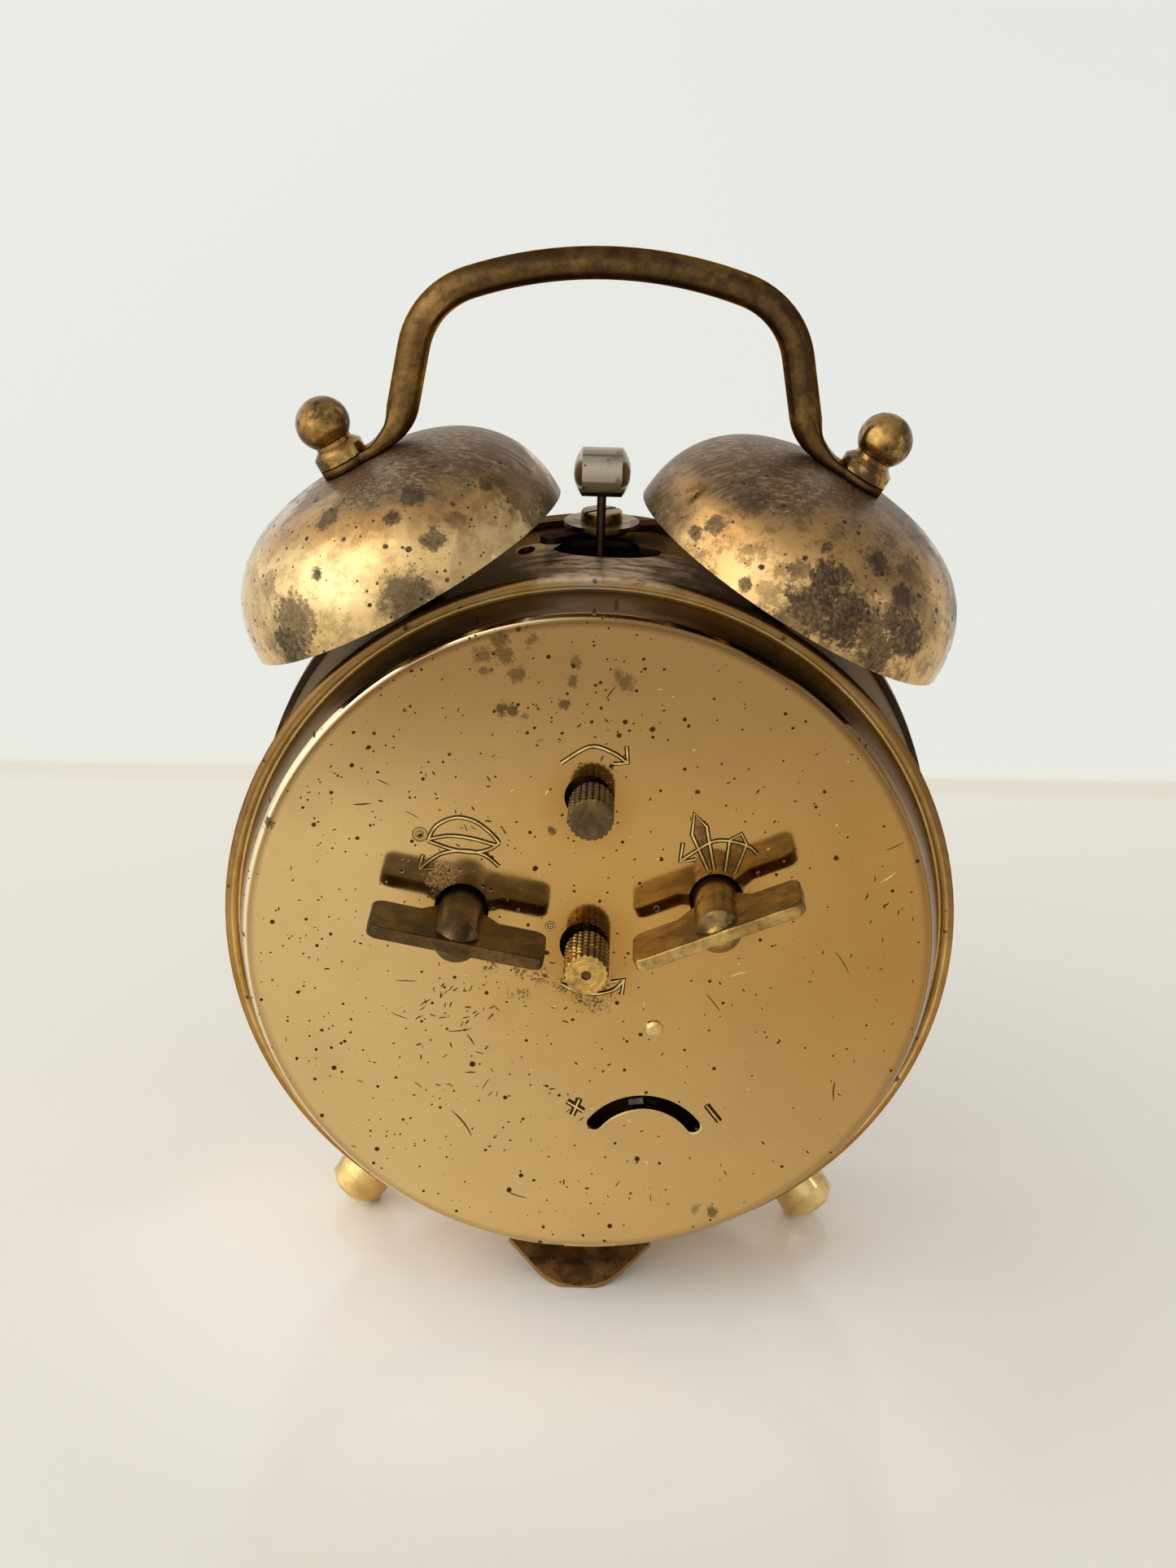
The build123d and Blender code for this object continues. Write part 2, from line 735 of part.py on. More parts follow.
# Rear cover, a pressed pan pushed into the rear of the drum
slot_start = quarter_turn - regulator_slot_half_angle
slot_turn = 2 * regulator_slot_half_angle
slot_half_width = regulator_slot_width / 2
with BuildPart() as rear_cover:
    with BuildSketch(lengthwise()):
        with BuildLine():
            Polyline((0, 0), (0, cover_flat_radius), (cover_edge_depth, cover_edge_radius),
                     (cover_shoulder_depth, cover_shoulder_radius),
                     (rear_bead_depth - rear_bead_radius, cover_flange_radius),
                     (cover_flange_end_depth, cover_flange_radius),
                     (cover_flange_end_depth, cover_flange_radius - cover_sheet),
                     (rear_bead_depth - rear_bead_radius, cover_flange_radius - cover_sheet),
                     (cover_shoulder_depth, cover_shoulder_radius - cover_sheet),
                     (cover_sheet, cover_flat_radius - cover_edge_depth),
                     (cover_sheet, 0), close=True)
        make_face()
    revolve(axis=fore_axis)
    with BuildSketch(across(-cut_over)):
        with Locations(time_key_place, alarm_key_place):
            Circle(key_hole_radius)
        with Locations(knob_hole_shift):
            Circle(time_knob_hole_radius)
        with Locations(alarm_knob_hole_place):
            Circle(alarm_knob_hole_radius)
        with Locations(cover_rivet_place):
            Circle(cover_rivet_shank_radius + screw_hole_gap)
        with BuildLine():
            CenterArc(balance_place, regulator_slot_radius + slot_half_width, slot_start, slot_turn)
            CenterArc(balance_place, regulator_slot_radius - slot_half_width, slot_start, slot_turn)
            CenterArc(polar(balance_place, regulator_slot_radius, slot_start), slot_half_width,
                      slot_start + half_turn, half_turn)
            CenterArc(polar(balance_place, regulator_slot_radius, slot_start + slot_turn),
                      slot_half_width, slot_start + slot_turn, half_turn)
        make_face()
    extrude(amount=cover_sheet + 2 * cut_over, mode=Mode.SUBTRACT)
    with BuildSketch(across(notch_dent)):
        with Locations(notch_place):
            Rectangle(notch_width, notch_height)
    extrude(amount=-notch_dent - cut_over, mode=Mode.SUBTRACT)
rear_cover.part.label = "rear_cover"
export_step(rear_cover.part, "parts/rear_cover.step")

# Small domed rivet in the cover
rivet_shape = turned([
    (-cover_rivet_rise, 0), (-cover_rivet_rise, cover_rivet_radius * rivet_crown_share),
    (-cover_rivet_rise * rivet_crown_share, cover_rivet_radius * rivet_side_share),
    (0, cover_rivet_radius), (0, cover_rivet_shank_radius),
    (cover_sheet, cover_rivet_shank_radius), (cover_sheet, cover_rivet_tail_radius),
    (cover_sheet + cover_rivet_tail, cover_rivet_tail_radius),
    (cover_sheet + cover_rivet_tail, 0)], cover_rivet_place)
with BuildPart() as cover_rivet:
    add(rivet_shape)
cover_rivet.part.label = "cover_rivet"
export_step(cover_rivet.part, "parts/cover_rivet.step")


# Bells
def bell_shell(angle):
    """A turned bell dome, open towards the case, with the hole for its post."""
    inner_rim = bell_radius - bell_wall
    inner_crown = bell_crown_distance - bell_wall
    inner_height = bell_height - bell_wall
    with BuildPart() as shell:
        with BuildSketch(radial(angle, bell_depth)):
            with BuildLine():
                Bezier((bell_rim_distance, bell_radius),
                       (bell_rim_distance + bell_height * bell_side_share, bell_radius),
                       (bell_crown_distance, bell_radius * bell_crown_share),
                       (bell_crown_distance, bell_crown_flat))
                Polyline((bell_crown_distance, bell_crown_flat),
                         (bell_crown_distance, post_hole_radius),
                         (inner_crown, post_hole_radius), (inner_crown, bell_crown_flat))
                Bezier((inner_crown, bell_crown_flat),
                       (inner_crown, inner_rim * bell_crown_share),
                       (bell_rim_distance + inner_height * bell_side_share, inner_rim),
                       (bell_rim_distance, inner_rim))
                Line((bell_rim_distance, inner_rim), (bell_rim_distance, bell_radius))
            make_face()
        revolve(axis=post_axis(angle))
    return shell.part


def post_axis(angle):
    """The outward axis of a bell and its post."""
    plane = outward(angle, bell_depth, axis_height)
    return Axis(plane.origin, plane.z_dir)


with BuildPart() as bell_left:
    add(bell_shell(-bell_angle))
bell_left.part.label = "bell_left"
export_step(bell_left.part, "parts/bell_left.step")

with BuildPart() as bell_right:
    add(bell_shell(bell_angle))
bell_right.part.label = "bell_right"
export_step(bell_right.part, "parts/bell_right.step")

# Bell posts, riveted through the drum and threaded at the outer end
finial_seat = bell_crown_distance + handle_tab_thickness
finial_ball_distance = finial_seat + collar_length + finial_neck
rivet_seat = math.sqrt(case_inner_radius ** 2 - post_rivet_radius ** 2)
post_steps = [(rivet_seat - post_rivet_height, rivet_seat, post_rivet_radius),
              (rivet_seat, case_radius, post_thread_radius),
              (case_radius, bell_crown_distance - bell_wall, post_radius),
              (bell_crown_distance - bell_wall, finial_seat + post_thread_reach,
               post_thread_radius)]
with BuildPart() as bell_posts:
    for angle in bell_angles:
        for step_start, step_end, step_radius in post_steps:
            with BuildSketch(outward(angle, bell_depth, step_start)):
                Circle(step_radius)
            extrude(amount=step_end - step_start)
bell_posts.part.label = "bell_posts"
export_step(bell_posts.part, "parts/bell_posts.step")


def finial(angle):
    """A ball on a short neck above a bevelled collar, screwed on a bell post."""
    collar_end = finial_seat + collar_length
    with BuildPart() as knob:
        with BuildSketch(radial(angle, bell_depth)):
            with BuildLine():
                Polyline((finial_seat, 0), (finial_seat, collar_radius),
                         (collar_end - collar_bevel, collar_radius),
                         (collar_end, collar_radius - collar_bevel),
                         (collar_end, finial_neck_radius),
                         (finial_ball_distance, finial_neck_radius),
                         (finial_ball_distance, 0), close=True)
            make_face()
        revolve(axis=post_axis(angle))
        with Locations(outward(angle, bell_depth, finial_ball_distance)):
            Sphere(finial_ball_radius)
        with BuildSketch(outward(angle, bell_depth, finial_seat)):
            Circle(post_hole_radius)
        extrude(amount=finial_hole_depth, mode=Mode.SUBTRACT)
    return knob.part


with BuildPart() as finial_left:
    add(finial(-bell_angle))
finial_left.part.label = "finial_left"
export_step(finial_left.part, "parts/finial_left.step")

with BuildPart() as finial_right:
    add(finial(bell_angle))
finial_right.part.label = "finial_right"
export_step(finial_right.part, "parts/finial_right.step")

# Carrying handle: half of it is bent and forged, then mirrored
crown_height = bell_crown_distance * math.cos(math.radians(bell_angle))
handle_top_height = crown_height + handle_rise
bow_middle = handle_top_height - handle_top_radius
bow_reach = handle_top_radius - handle_shoulder_radius
shoulder_place = polar((0, bow_middle), bow_reach, quarter_turn - handle_top_angle)
leg_start = polar(shoulder_place, handle_shoulder_radius, quarter_turn - handle_leg_angle)
foot_line_start = polar(polar(centre_place, bell_crown_distance + handle_radius,
                              quarter_turn - bell_angle),
                        handle_tab_neck, half_turn - bell_angle)
foot_turn = handle_leg_angle - bell_angle
leg_way = (math.cos(math.radians(handle_leg_angle)), -math.sin(math.radians(handle_leg_angle)))
tab_way = (-math.cos(math.radians(bell_angle)), math.sin(math.radians(bell_angle)))
across_gap = (foot_line_start[0] - leg_start[0], foot_line_start[1] - leg_start[1])
leg_run = ((across_gap[0] * tab_way[1] - across_gap[1] * tab_way[0])
           / (leg_way[0] * tab_way[1] - leg_way[1] * tab_way[0]))
foot_trim = handle_foot_radius * math.tan(math.radians(foot_turn / 2))
leg_end = polar(leg_start, leg_run - foot_trim, -handle_leg_angle)
foot_corner = polar(leg_start, leg_run, -handle_leg_angle)
foot_bend_end = polar(foot_corner, foot_trim, -bell_angle)
foot_middle = polar(leg_end, handle_foot_radius, quarter_turn - handle_leg_angle)
tab_end = handle_tab_neck + handle_tab_slope
with BuildPart() as carry_handle:
    with BuildLine(across(bell_depth)) as handle_line:
        CenterArc((0, bow_middle), handle_top_radius, quarter_turn - handle_top_angle,
                  handle_top_angle)
        CenterArc(shoulder_place, handle_shoulder_radius, quarter_turn - handle_leg_angle,
                  handle_leg_angle - handle_top_angle)
        Line(leg_start, leg_end)
        CenterArc(foot_middle, handle_foot_radius, -quarter_turn - handle_leg_angle, foot_turn)
        Line(foot_bend_end, foot_line_start)
    with BuildSketch(Plane(origin=(0, rear_y - bell_depth, axis_height + handle_top_height),
                           z_dir=(1, 0, 0))):
        Circle(handle_radius)
    sweep(path=handle_line.line)
    with BuildSketch(outward(bell_angle, bell_depth, bell_crown_distance)):
        Circle(handle_tab_radius)
        with BuildLine():
            Polyline((-handle_tab_radius, 0), (-handle_radius, -tab_end),
                     (handle_radius, -tab_end), (handle_tab_radius, 0), close=True)
        make_face()
    extrude(amount=handle_tab_thickness)
    with BuildSketch(radial(bell_angle, bell_depth)):
        with BuildLine():
            Polyline((finial_seat, -handle_tab_radius - cut_over), (finial_seat, handle_tab_neck),
                     (bell_crown_distance + 2 * handle_radius, tab_end),
                     (bell_crown_distance + 2 * handle_radius + cut_over, tab_end),
                     (bell_crown_distance + 2 * handle_radius + cut_over,
                      -handle_tab_radius - cut_over), close=True)
        make_face()
    extrude(amount=handle_radius + cut_over, both=True, mode=Mode.SUBTRACT)
    with BuildSketch(outward(bell_angle, bell_depth, bell_crown_distance - cut_over)):
        Circle(post_hole_radius)
    extrude(amount=handle_tab_thickness + 2 * cut_over, mode=Mode.SUBTRACT)
    mirror(about=Plane.YZ)
carry_handle.part.label = "carry_handle"
export_step(carry_handle.part, "parts/carry_handle.step")

# Front feet, turned, screwed into the drum
foot_edge_radius = foot_face_radius - foot_bevel
foot_face_distance = ((axis_height - foot_edge_radius * math.sin(math.radians(foot_angle)))
                      / math.cos(math.radians(foot_angle)))
band_start = foot_face_distance - foot_bevel - foot_band
with BuildPart() as front_feet:
    for angle in foot_angles:
        plane = outward(angle, foot_depth, case_radius)
        with BuildSketch(radial(angle, foot_depth)):
            with BuildLine():
                Polyline((case_radius - foot_thread_length, 0),
                         (case_radius - foot_thread_length, foot_thread_radius),
                         (case_radius, foot_thread_radius), (case_radius, foot_base_radius),
                         (band_start, foot_face_radius),
                         (band_start + foot_band, foot_face_radius),
                         (foot_face_distance, foot_edge_radius), (foot_face_distance, 0),
                         close=True)
            make_face()
        revolve(axis=Axis(plane.origin, plane.z_dir))
front_feet.part.label = "front_feet"
export_step(front_feet.part, "parts/front_feet.step")

# Rear foot, a bent tongue of sheet riveted under the drum
tongue_under = case_clearance - tongue_sheet
tongue_run = tongue_bend_depth - tongue_tip_depth
tongue_slant = math.hypot(tongue_under, tongue_run)
tongue_back = tongue_sheet * tongue_under / tongue_slant
tongue_up = tongue_sheet * tongue_run / tongue_slant
taper_depth = tongue_tip_depth + tongue_run * tongue_taper_share
with BuildPart() as rear_foot:
    with BuildSketch(lengthwise()):
        with BuildLine():
            Polyline((tongue_root_depth, -case_radius), (tongue_bend_depth, -case_radius),
                     (tongue_tip_depth - tongue_back, -axis_height + tongue_up),
                     (tongue_tip_depth, -axis_height),
                     (tongue_bend_depth, -case_radius - tongue_sheet),
                     (tongue_root_depth, -case_radius - tongue_sheet), close=True)
        make_face()
    extrude(amount=tongue_half_width, both=True)
    with BuildSketch(Plane.XY):
        with BuildLine():
            Polyline((-tongue_half_width, rear_y - tongue_root_depth),
                     (tongue_half_width, rear_y - tongue_root_depth),
                     (tongue_half_width, rear_y - taper_depth),
                     (tongue_tip_half_width, rear_y - tongue_tip_depth + tongue_back),
                     (-tongue_tip_half_width, rear_y - tongue_tip_depth + tongue_back),
                     (-tongue_half_width, rear_y - taper_depth), close=True)
        tongue_face = make_face()
        fillet(tongue_face.vertices().sort_by(Axis.Y)[-2:], tongue_tip_round)
        with Locations(*tongue_rivet_places):
            Circle(tongue_shank_radius + screw_hole_gap, mode=Mode.SUBTRACT)
    extrude(amount=axis_height, mode=Mode.INTERSECT)
rear_foot.part.label = "rear_foot"
export_step(rear_foot.part, "parts/rear_foot.step")

rivet_reach = tongue_rivet_spacing / 2 + tongue_rivet_radius
tongue_rivet_inside = axis_height - math.sqrt(case_inner_radius ** 2 - rivet_reach ** 2)
tongue_rivet_steps = [(tongue_under - tongue_rivet_head, tongue_under, tongue_rivet_radius),
                      (tongue_under, tongue_rivet_inside, tongue_shank_radius),
                      (tongue_rivet_inside, tongue_rivet_inside + tongue_rivet_head,
                       tongue_rivet_radius)]
with BuildPart() as rear_foot_rivets:
    for step_start, step_end, step_radius in tongue_rivet_steps:
        with BuildSketch(Plane.XY.offset(step_start)):
            with Locations(*tongue_rivet_places):
                Circle(step_radius)
        extrude(amount=step_end - step_start)
rear_foot_rivets.part.label = "rear_foot_rivets"
export_step(rear_foot_rivets.part, "parts/rear_foot_rivets.step")

# Alarm stop lever on the drum, with its washer and slotted screw
lever_bottom = case_top + lever_seat
washer_bottom = lever_bottom + lever_thickness
screw_head_bottom = washer_bottom + lever_washer_thickness
lever_pivot = (0, rear_y - lever_pivot_depth)
lever_round = lever_width / 2
finger_place = polar(lever_pivot, lever_finger_length - lever_round, lever_finger_angle)
tab_place = polar(lever_pivot, lever_tab_length - lever_round, lever_tab_angle)
with BuildPart() as stop_lever:
    with BuildSketch(Plane.XY.offset(lever_bottom)):
        with Locations(lever_pivot):
            Circle(lever_eye_radius)
        for arm_place, arm_angle in ((finger_place, lever_finger_angle),
                                     (tab_place, lever_tab_angle)):
            arm_middle = ((lever_pivot[0] + arm_place[0]) / 2,
                          (lever_pivot[1] + arm_place[1]) / 2)
            with Locations(Location((arm_middle[0], arm_middle[1], 0), (0, 0, arm_angle))):
                SlotCenterToCenter(gap_between(lever_pivot, arm_place), lever_width)
        with Locations(lever_pivot):
            Circle(lever_screw_thread + running_gap, mode=Mode.SUBTRACT)
    extrude(amount=lever_thickness)
stop_lever.part.label = "stop_lever"
export_step(stop_lever.part, "parts/stop_lever.step")

with BuildPart() as lever_washer:
    with BuildSketch(Plane.XY.offset(washer_bottom)):
        with Locations(lever_pivot):
            Circle(lever_washer_radius)
            Circle(lever_screw_thread + screw_hole_gap, mode=Mode.SUBTRACT)
    extrude(amount=lever_washer_thickness)
lever_washer.part.label = "lever_washer"
export_step(lever_washer.part, "parts/lever_washer.step")

with BuildPart() as lever_screw:
    with BuildSketch(Plane.XY.offset(screw_head_bottom)):
        with Locations(lever_pivot):
            Circle(lever_screw_radius)
    extrude(amount=lever_screw_height)
    fillet(lever_screw.edges().group_by(Axis.Z)[-1], lever_screw_edge)
    with BuildSketch(Plane.XY.offset(screw_head_bottom)):
        with Locations(lever_pivot):
            Circle(lever_screw_thread)
    extrude(amount=axis_height + case_inner_radius - cut_over - screw_head_bottom)
    with BuildSketch(Plane.XY.offset(screw_head_bottom + lever_screw_height)):
        with Locations(Location((*lever_pivot, 0), (0, 0, lever_slot_turn))):
            Rectangle(2 * lever_screw_radius + cut_over, lever_screw_slot)
    extrude(amount=-lever_screw_height / 2, mode=Mode.SUBTRACT)
lever_screw.part.label = "lever_screw"
export_step(lever_screw.part, "parts/lever_screw.step")


# Keys: a hub on the winding arbor and a wing set in its slot
def key_hub(place, tilt):
    """A round hub with a bevelled end, a socket for its arbor and a slot for its wing."""
    slot_bottom = key_wing_inner_rise - key_wing_waist
    with BuildPart() as hub:
        with BuildSketch(lengthwise(place)):
            with BuildLine():
                Polyline((key_hub_inner_depth, winding_arbor_radius + press_gap),
                         (key_hub_inner_depth, key_hub_radius),
                         (-key_hub_rise + key_hub_bevel, key_hub_radius),
                         (-key_hub_rise, key_hub_radius - key_hub_bevel), (-key_hub_rise, 0),
                         (key_hub_inner_depth - key_socket_length, 0),
                         (key_hub_inner_depth - key_socket_length,
                          winding_arbor_radius + press_gap), close=True)
            make_face()
        revolve(axis=Axis((place[0], rear_y, axis_height + place[1]), (0, -1, 0)))
        with BuildSketch(across(-slot_bottom + press_gap, place, tilt)):
            Rectangle(2 * key_hub_radius + cut_over, key_wing_thickness + 2 * press_gap)
        extrude(amount=-key_hub_rise, mode=Mode.SUBTRACT)
    return hub.part


def key_wing(place, tilt):
    """A flat wing, deeper where it crosses the hub, with rounded corners."""
    heading = math.radians(tilt)
    half_span = key_wing_span / 2
    side = Plane(origin=(place[0], rear_y, axis_height + place[1]),
                 x_dir=(math.cos(heading), 0, math.sin(heading)),
                 z_dir=(-math.sin(heading), 0, math.cos(heading)))
    with BuildPart() as wing:
        with BuildSketch(side):
            with BuildLine():
                Polyline((-half_span, key_wing_inner_rise),
                         (-key_hub_radius - key_wing_waist, key_wing_inner_rise),
                         (-key_hub_radius, key_wing_inner_rise - key_wing_waist),
                         (key_hub_radius, key_wing_inner_rise - key_wing_waist),
                         (key_hub_radius + key_wing_waist, key_wing_inner_rise),
                         (half_span, key_wing_inner_rise), (half_span, key_wing_rise),
                         (-half_span, key_wing_rise), close=True)
            wing_face = make_face()
            ends = wing_face.vertices().group_by(Axis((0, 0, 0), side.x_dir))
            fillet(ends[0] + ends[-1], key_wing_corner)
        extrude(amount=key_wing_thickness / 2, both=True)
        fillet(wing.edges().filter_by(GeomType.LINE).group_by(Axis.Y)[-1], key_wing_edge)
    return wing.part


with BuildPart() as time_key_hub:
    add(key_hub(time_key_place, time_key_tilt))
time_key_hub.part.label = "time_key_hub"
export_step(time_key_hub.part, "parts/time_key_hub.step")

with BuildPart() as time_key_wing:
    add(key_wing(time_key_place, time_key_tilt))
time_key_wing.part.label = "time_key_wing"
export_step(time_key_wing.part, "parts/time_key_wing.step")

with BuildPart() as alarm_key_hub:
    add(key_hub(alarm_key_place, alarm_key_tilt))
alarm_key_hub.part.label = "alarm_key_hub"
export_step(alarm_key_hub.part, "parts/alarm_key_hub.step")

with BuildPart() as alarm_key_wing:
    add(key_wing(alarm_key_place, alarm_key_tilt))
alarm_key_wing.part.label = "alarm_key_wing"
export_step(alarm_key_wing.part, "parts/alarm_key_wing.step")


# Setting knobs
def setting_knob(place, rise):
    """A plain round knob with softened ends and a socket for its arbor."""
    socket = centre_arbor_radius + press_gap
    return turned([(-knob_gap, socket), (-knob_gap, knob_radius - knob_edge),
                   (-knob_gap - knob_edge, knob_radius),
                   (-rise + knob_edge, knob_radius), (-rise, knob_radius - knob_edge), (-rise, 0),
                   (-knob_gap - knob_socket_length, 0),
                   (-knob_gap - knob_socket_length, socket)], place)


with BuildPart() as time_set_knob:
    add(setting_knob(centre_place, time_knob_rise))
time_set_knob.part.label = "time_set_knob"
export_step(time_set_knob.part, "parts/time_set_knob.step")

with BuildPart() as alarm_set_knob:
    add(setting_knob(alarm_knob_place, alarm_knob_rise))
alarm_set_knob.part.label = "alarm_set_knob"
export_step(alarm_set_knob.part, "parts/alarm_set_knob.step")

# Movement plates, pillars, nuts and brackets
arbor_hole = arbor_radius + running_gap
centre_hole = centre_arbor_radius + running_gap
winding_hole = winding_arbor_radius + running_gap
hammer_hole = hammer_arbor_radius + running_gap
bearing_hole = bearing_radius + press_gap
pillar_hole = pillar_thread_radius + screw_hole_gap
small_places = [third_place, fourth_place, escape_place, pallet_place, alarm_escape_place]
pillar_places = [polar(centre_place, pillar_place_radius, angle) for angle in pillar_angles]
click_places = [polar(time_key_place, click_distance, time_click_direction),
                polar(alarm_key_place, click_distance, alarm_click_direction)]
plate_holes = [([centre_place, alarm_knob_place], centre_hole), (small_places, arbor_hole),
               ([time_key_place, alarm_key_place], winding_hole), ([hammer_place], hammer_hole),
               ([balance_place], bearing_hole), (pillar_places, pillar_hole)]
bracket_outer = math.sqrt(case_inner_radius ** 2 - (bracket_width / 2) ** 2) - press_gap
with BuildPart() as rear_plate:
    with BuildSketch(across(rear_plate_depth)):
        Circle(plate_radius)
        for hole_places, hole_radius in plate_holes:
            with Locations(*hole_places):
                Circle(hole_radius, mode=Mode.SUBTRACT)
    extrude(amount=plate_thickness)
    with BuildSketch(across(ratchet_depth - click_pin_reach)):
        with Locations(*click_places):
            Circle(click_pin_radius)
    extrude(amount=rear_plate_depth - ratchet_depth + click_pin_reach)
rear_plate.part.label = "rear_plate"
export_step(rear_plate.part, "parts/rear_plate.step")

with BuildPart() as front_plate:
    with BuildSketch(across(front_plate_depth)):
        Circle(plate_radius)
        for hole_places, hole_radius in plate_holes:
            with Locations(*hole_places):
                Circle(hole_radius, mode=Mode.SUBTRACT)
        with Locations(minute_wheel_place):
            Circle(arbor_hole, mode=Mode.SUBTRACT)
    extrude(amount=plate_thickness)
front_plate.part.label = "front_plate"
export_step(front_plate.part, "parts/front_plate.step")

with BuildPart() as plate_pillars:
    with BuildSketch(across(plate_gap_start)):
        with Locations(*pillar_places):
            Circle(pillar_radius)
    extrude(amount=front_plate_depth - plate_gap_start)
    with BuildSketch(across(rear_plate_depth)):
        with Locations(*pillar_places):
            Circle(pillar_thread_radius)
    extrude(amount=front_plate_front + pillar_nut_height - rear_plate_depth)
plate_pillars.part.label = "plate_pillars"
export_step(plate_pillars.part, "parts/plate_pillars.step")

with BuildPart() as pillar_nuts:
    with BuildSketch(across(front_plate_front)):
        with Locations(*pillar_places):
            RegularPolygon(pillar_nut_radius, nut_sides)
            Circle(pillar_hole, mode=Mode.SUBTRACT)
    extrude(amount=pillar_nut_height)
pillar_nuts.part.label = "pillar_nuts"
export_step(pillar_nuts.part, "parts/pillar_nuts.step")

with BuildPart() as movement_brackets:
    for angle in bracket_angles:
        heading = math.radians(angle)
        side = Plane(origin=(0, rear_y, axis_height), x_dir=(0, -1, 0),
                     z_dir=(-math.sin(heading), 0, math.cos(heading)))
        with BuildSketch(side):
            with BuildLine():
                Polyline((front_plate_depth, bracket_inner_radius),
                         (front_plate_depth, bracket_outer),
                         (front_plate_depth - bracket_length, bracket_outer),
                         (front_plate_depth - bracket_length, bracket_outer - bracket_sheet),
                         (front_plate_depth - bracket_sheet, bracket_outer - bracket_sheet),
                         (front_plate_depth - bracket_sheet, bracket_inner_radius), close=True)
            make_face()
        extrude(amount=bracket_width / 2, both=True)
movement_brackets.part.label = "movement_brackets"
export_step(movement_brackets.part, "parts/movement_brackets.step")

# Mainsprings and hairspring
with BuildPart() as time_mainspring:
    add(spiral_strip(mainspring_inner_radius, time_spring_outer_radius, mainspring_turns,
                     mainspring_strip, time_spring_depth, time_spring_height, time_key_place))
time_mainspring.part.label = "time_mainspring"
export_step(time_mainspring.part, "parts/time_mainspring.step")

with BuildPart() as alarm_mainspring:
    add(spiral_strip(mainspring_inner_radius, alarm_spring_outer_radius, mainspring_turns,
                     mainspring_strip, time_spring_depth, alarm_spring_height, alarm_key_place))
alarm_mainspring.part.label = "alarm_mainspring"
export_step(alarm_mainspring.part, "parts/alarm_mainspring.step")

with BuildPart() as hairspring:
    add(spiral_strip(hairspring_inner_radius, hairspring_outer_radius, hairspring_turns,
                     hairspring_strip, hairspring_depth, hairspring_height, balance_place))
hairspring.part.label = "hairspring"
export_step(hairspring.part, "parts/hairspring.step")

# Balance bearings, each with a cup for one end of the staff
rear_bearing_end = plate_gap_start + bearing_nose
front_bearing_start = front_plate_depth - bearing_nose
rear_bearing = turned([(bearing_rear_depth, 0), (bearing_rear_depth, bearing_radius),
                       (rear_bearing_end, bearing_radius), (rear_bearing_end, arbor_hole),
                       (rear_bearing_end - bearing_cup, arbor_hole),
                       (rear_bearing_end - bearing_cup, 0)], balance_place)
front_bearing = turned([(bearing_front_depth, 0), (bearing_front_depth, bearing_radius),
                        (front_bearing_start, bearing_radius), (front_bearing_start, arbor_hole),
                        (front_bearing_start + bearing_cup, arbor_hole),
                        (front_bearing_start + bearing_cup, 0)], balance_place)
with BuildPart() as balance_bearings:
    add(rear_bearing)
    add(front_bearing)
balance_bearings.part.label = "balance_bearings"
export_step(balance_bearings.part, "parts/balance_bearings.step")


# Winding arbors, each with its ratchet; great wheels ride on them
def winding_arbor(place):
    """A winding arbor from its key to the front plate, with the ratchet behind the plate."""
    start = key_hub_inner_depth - key_socket_length + winding_arbor_end_gap
    with BuildPart() as arbor:
        add(round_bar(winding_arbor_radius, start, front_plate_front, place))
        add(pointed(ratchet_teeth, ratchet_radius, ratchet_root_share, ratchet_lean_share,
                    ratchet_depth, ratchet_thickness, place))
    return arbor.part


with BuildPart() as time_winding_arbor:
    add(winding_arbor(time_key_place))
time_winding_arbor.part.label = "time_winding_arbor"
export_step(time_winding_arbor.part, "parts/time_winding_arbor.step")

with BuildPart() as alarm_winding_arbor:
    add(winding_arbor(alarm_key_place))
alarm_winding_arbor.part.label = "alarm_winding_arbor"
export_step(alarm_winding_arbor.part, "parts/alarm_winding_arbor.step")


def click(place, direction):
    """A click: an eye on its stud and an arm whose round tip rests beside the ratchet."""
    pivot = polar(place, click_distance, direction)
    tip_radius = ratchet_radius + click_gap + click_width / 2
    tip = polar(place, tip_radius, direction + click_lead)
    with BuildPart() as pawl:
        add(link(pivot, tip, click_width, ratchet_depth, ratchet_thickness))
        add(round_bar(click_boss_radius, ratchet_depth, ratchet_depth + ratchet_thickness, pivot))
        add(round_bar(click_pin_radius + running_gap, ratchet_depth - cut_over,
                      ratchet_depth + ratchet_thickness + cut_over, pivot), mode=Mode.SUBTRACT)
    return pawl.part


with BuildPart() as time_click:
    add(click(time_key_place, time_click_direction))
time_click.part.label = "time_click"
export_step(time_click.part, "parts/time_click.step")

with BuildPart() as alarm_click:
    add(click(alarm_key_place, alarm_click_direction))
alarm_click.part.label = "alarm_click"
export_step(alarm_click.part, "parts/alarm_click.step")

great_pinion_line = bearing_of(time_key_place, centre_place)
with BuildPart() as time_great_wheel:
    add(toothed(great_wheel_teeth, great_module, wheel_form, great_wheel_depth,
                great_wheel_thickness, time_key_place, great_pinion_line))
    add(round_bar(winding_hole, great_wheel_depth - cut_over,
                  great_wheel_depth + great_wheel_thickness + cut_over, time_key_place),
        mode=Mode.SUBTRACT)
time_great_wheel.part.label = "time_great_wheel"
export_step(time_great_wheel.part, "parts/time_great_wheel.step")

